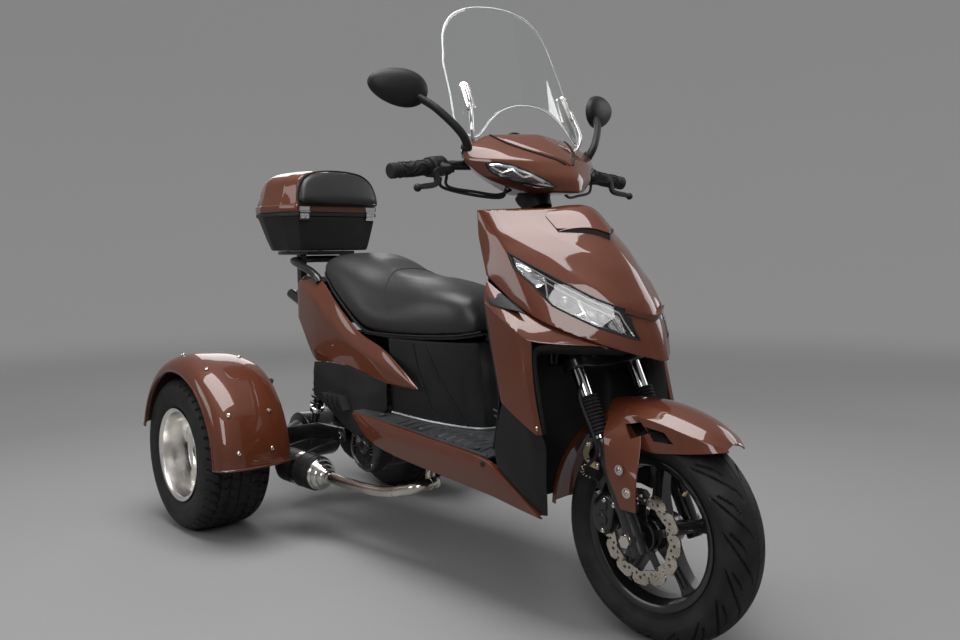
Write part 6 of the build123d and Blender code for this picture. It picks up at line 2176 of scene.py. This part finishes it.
# ---------------------------------------------------------------- studio
LIGHTS = (
    ("overhead", (0.1, -0.5, 3.1), (0, 0, 0.4), 2.6, 1.5, 88),
    ("front_right", (2.8, -2.4, 2.4), (0.2, 0, 0.5), 1.0, 2.2, 40),
    ("right", (-1.6, -3.6, 1.9), (0, 0, 0.5), 2.4, 1.4, 30),
    ("left", (1.2, 3.4, 2.2), (0, 0, 0.6), 2.0, 1.6, 26),
    ("behind", (-3.4, 1.4, 2.4), (0, 0, 0.6), 1.6, 1.6, 20),
)
FLOOR_REACH, BOWL_RADIUS, WALL_TOP, BOWL_SIDES = 5.5, 3, 8.0, 96
CAMERA_PLACE, CAMERA_LENS, CAMERA_SENSOR = (1.930, -1.534, 0.8423), 34.65, 36
CAMERA_HEADING, CAMERA_DOWN, CAMERA_ROLL = radians(139.52), radians(4.653), radians(-0.522)


def area_light(name, place, target, width, height, watts):
    """A soft lamp aimed at a point."""
    lamp = bpy.data.lights.new(name, "AREA")
    lamp.shape = "RECTANGLE"
    lamp.size = width
    lamp.size_y = height
    lamp.energy = watts
    obj = link(name, lamp)
    obj.location = place
    obj.rotation_euler = (Vector(target) - Vector(place)).to_track_quat("-Z", "Y").to_euler()


def math_node(nodes, links, operation, *values):
    """One step of node arithmetic."""
    node = nodes.new("ShaderNodeMath")
    node.operation = operation
    for socket, value in zip(node.inputs, values):
        links.new(value, socket)
    return node.outputs[0]


def backdrop_paper():
    """Grey paper whose wall keeps its tone away from the lamps."""
    material, nodes, links, bsdf = node_material("backdrop_paper")
    tone = noise_value(nodes, links, 0.5, 4.0)
    links.new(mix_colour(nodes, links, ranged(nodes, links, tone, 0.3, 0.7), (0.295, 0.295, 0.295),
                         (0.305, 0.305, 0.305)),
              bsdf.inputs["Base Color"])
    bsdf.inputs["Roughness"].default_value = 0.95
    bsdf.inputs["Specular IOR Level"].default_value = 0.0
    place = nodes.new("ShaderNodeTexCoord")
    split = nodes.new("ShaderNodeSeparateXYZ")
    links.new(place.outputs["Object"], split.inputs[0])
    rays = nodes.new("ShaderNodeLightPath")
    seen = rays.outputs["Is Camera Ray"]
    for kind in ("Is Glossy Ray", "Is Transmission Ray"):
        seen = math_node(nodes, links, "MAXIMUM", seen, rays.outputs[kind])
    reach = nodes.new("ShaderNodeVectorMath")
    reach.operation = "LENGTH"
    links.new(place.outputs["Object"], reach.inputs[0])
    far = ranged(nodes, links, reach.outputs["Value"], 2.6, 6.2, 0.0, 0.17)
    high = ranged(nodes, links, split.outputs[2], 0.5, 4.0, 0.0, 0.01)
    glow = math_node(nodes, links, "MULTIPLY", seen, math_node(nodes, links, "ADD", far, high))
    bsdf.inputs["Emission Color"].default_value = (1, 1, 1, 1)
    links.new(glow, bsdf.inputs["Emission Strength"])
    return material


def studio():
    """Soft lamps, a grey bowl of paper and a dim sky."""
    for light in LIGHTS:
        area_light(*light)
    wall = FLOOR_REACH + BOWL_RADIUS
    profile = [(reach, 0.0) for reach in (0.05, 2.0, 4.0, FLOOR_REACH)]
    profile += [(FLOOR_REACH + BOWL_RADIUS * sin(a), BOWL_RADIUS * (1 - cos(a)))
                for a in (radians(step) for step in range(3, 91, 3))] + [(wall, 5.0), (wall, WALL_TOP)]
    rows = [[Vector((reach * cos(a), reach * sin(a), height)) for a in around(BOWL_SIDES)] for reach,
            height in profile]
    mesh = bpy.data.meshes.new("backdrop")
    mesh.from_pydata([p for row in rows for p in row] + [Vector((0, 0, 0))], [],
                     grid_faces(len(rows), BOWL_SIDES, True)
                     + [(BOWL_SIDES * len(rows), (i + 1) % BOWL_SIDES, i) for i in range(BOWL_SIDES)])
    mesh.shade_smooth()
    mesh.materials.append(backdrop_paper())
    link("backdrop", mesh)

    world = bpy.data.worlds.new("studio")
    bpy.context.scene.world = world
    world.use_nodes = True
    nodes, links = world.node_tree.nodes, world.node_tree.links
    place = nodes.new("ShaderNodeTexCoord")
    split = nodes.new("ShaderNodeSeparateXYZ")
    links.new(place.outputs["Generated"], split.inputs[0])
    sky = mix_colour(nodes, links, ranged(nodes, links, split.outputs[2], -0.2, 0.9), (0.05, 0.05, 0.052),
                     (0.42, 0.42, 0.425))
    links.new(sky, nodes["Background"].inputs["Color"])
    nodes["Background"].inputs["Strength"].default_value = 0.85


def camera():
    """The view of the vehicle from its front right."""
    data = bpy.data.cameras.new("camera")
    data.lens = CAMERA_LENS
    data.sensor_width = CAMERA_SENSOR
    data.dof.use_dof = False
    heading, down, roll = CAMERA_HEADING, CAMERA_DOWN, CAMERA_ROLL
    forward = Vector((cos(heading) * cos(down), sin(heading) * cos(down), -sin(down)))
    right = Vector((sin(heading), -cos(heading), 0))
    up = right.cross(forward)
    right, up = right * cos(roll) + up * sin(roll), up * cos(roll) - right * sin(roll)
    obj = link("camera", data)
    turn = Matrix((right, up, -forward)).transposed()
    obj.matrix_world = Matrix.Translation(CAMERA_PLACE) @ turn.to_4x4()
    bpy.context.scene.camera = obj


studio()
camera()
bpy.context.scene.view_settings.view_transform = "Standard"
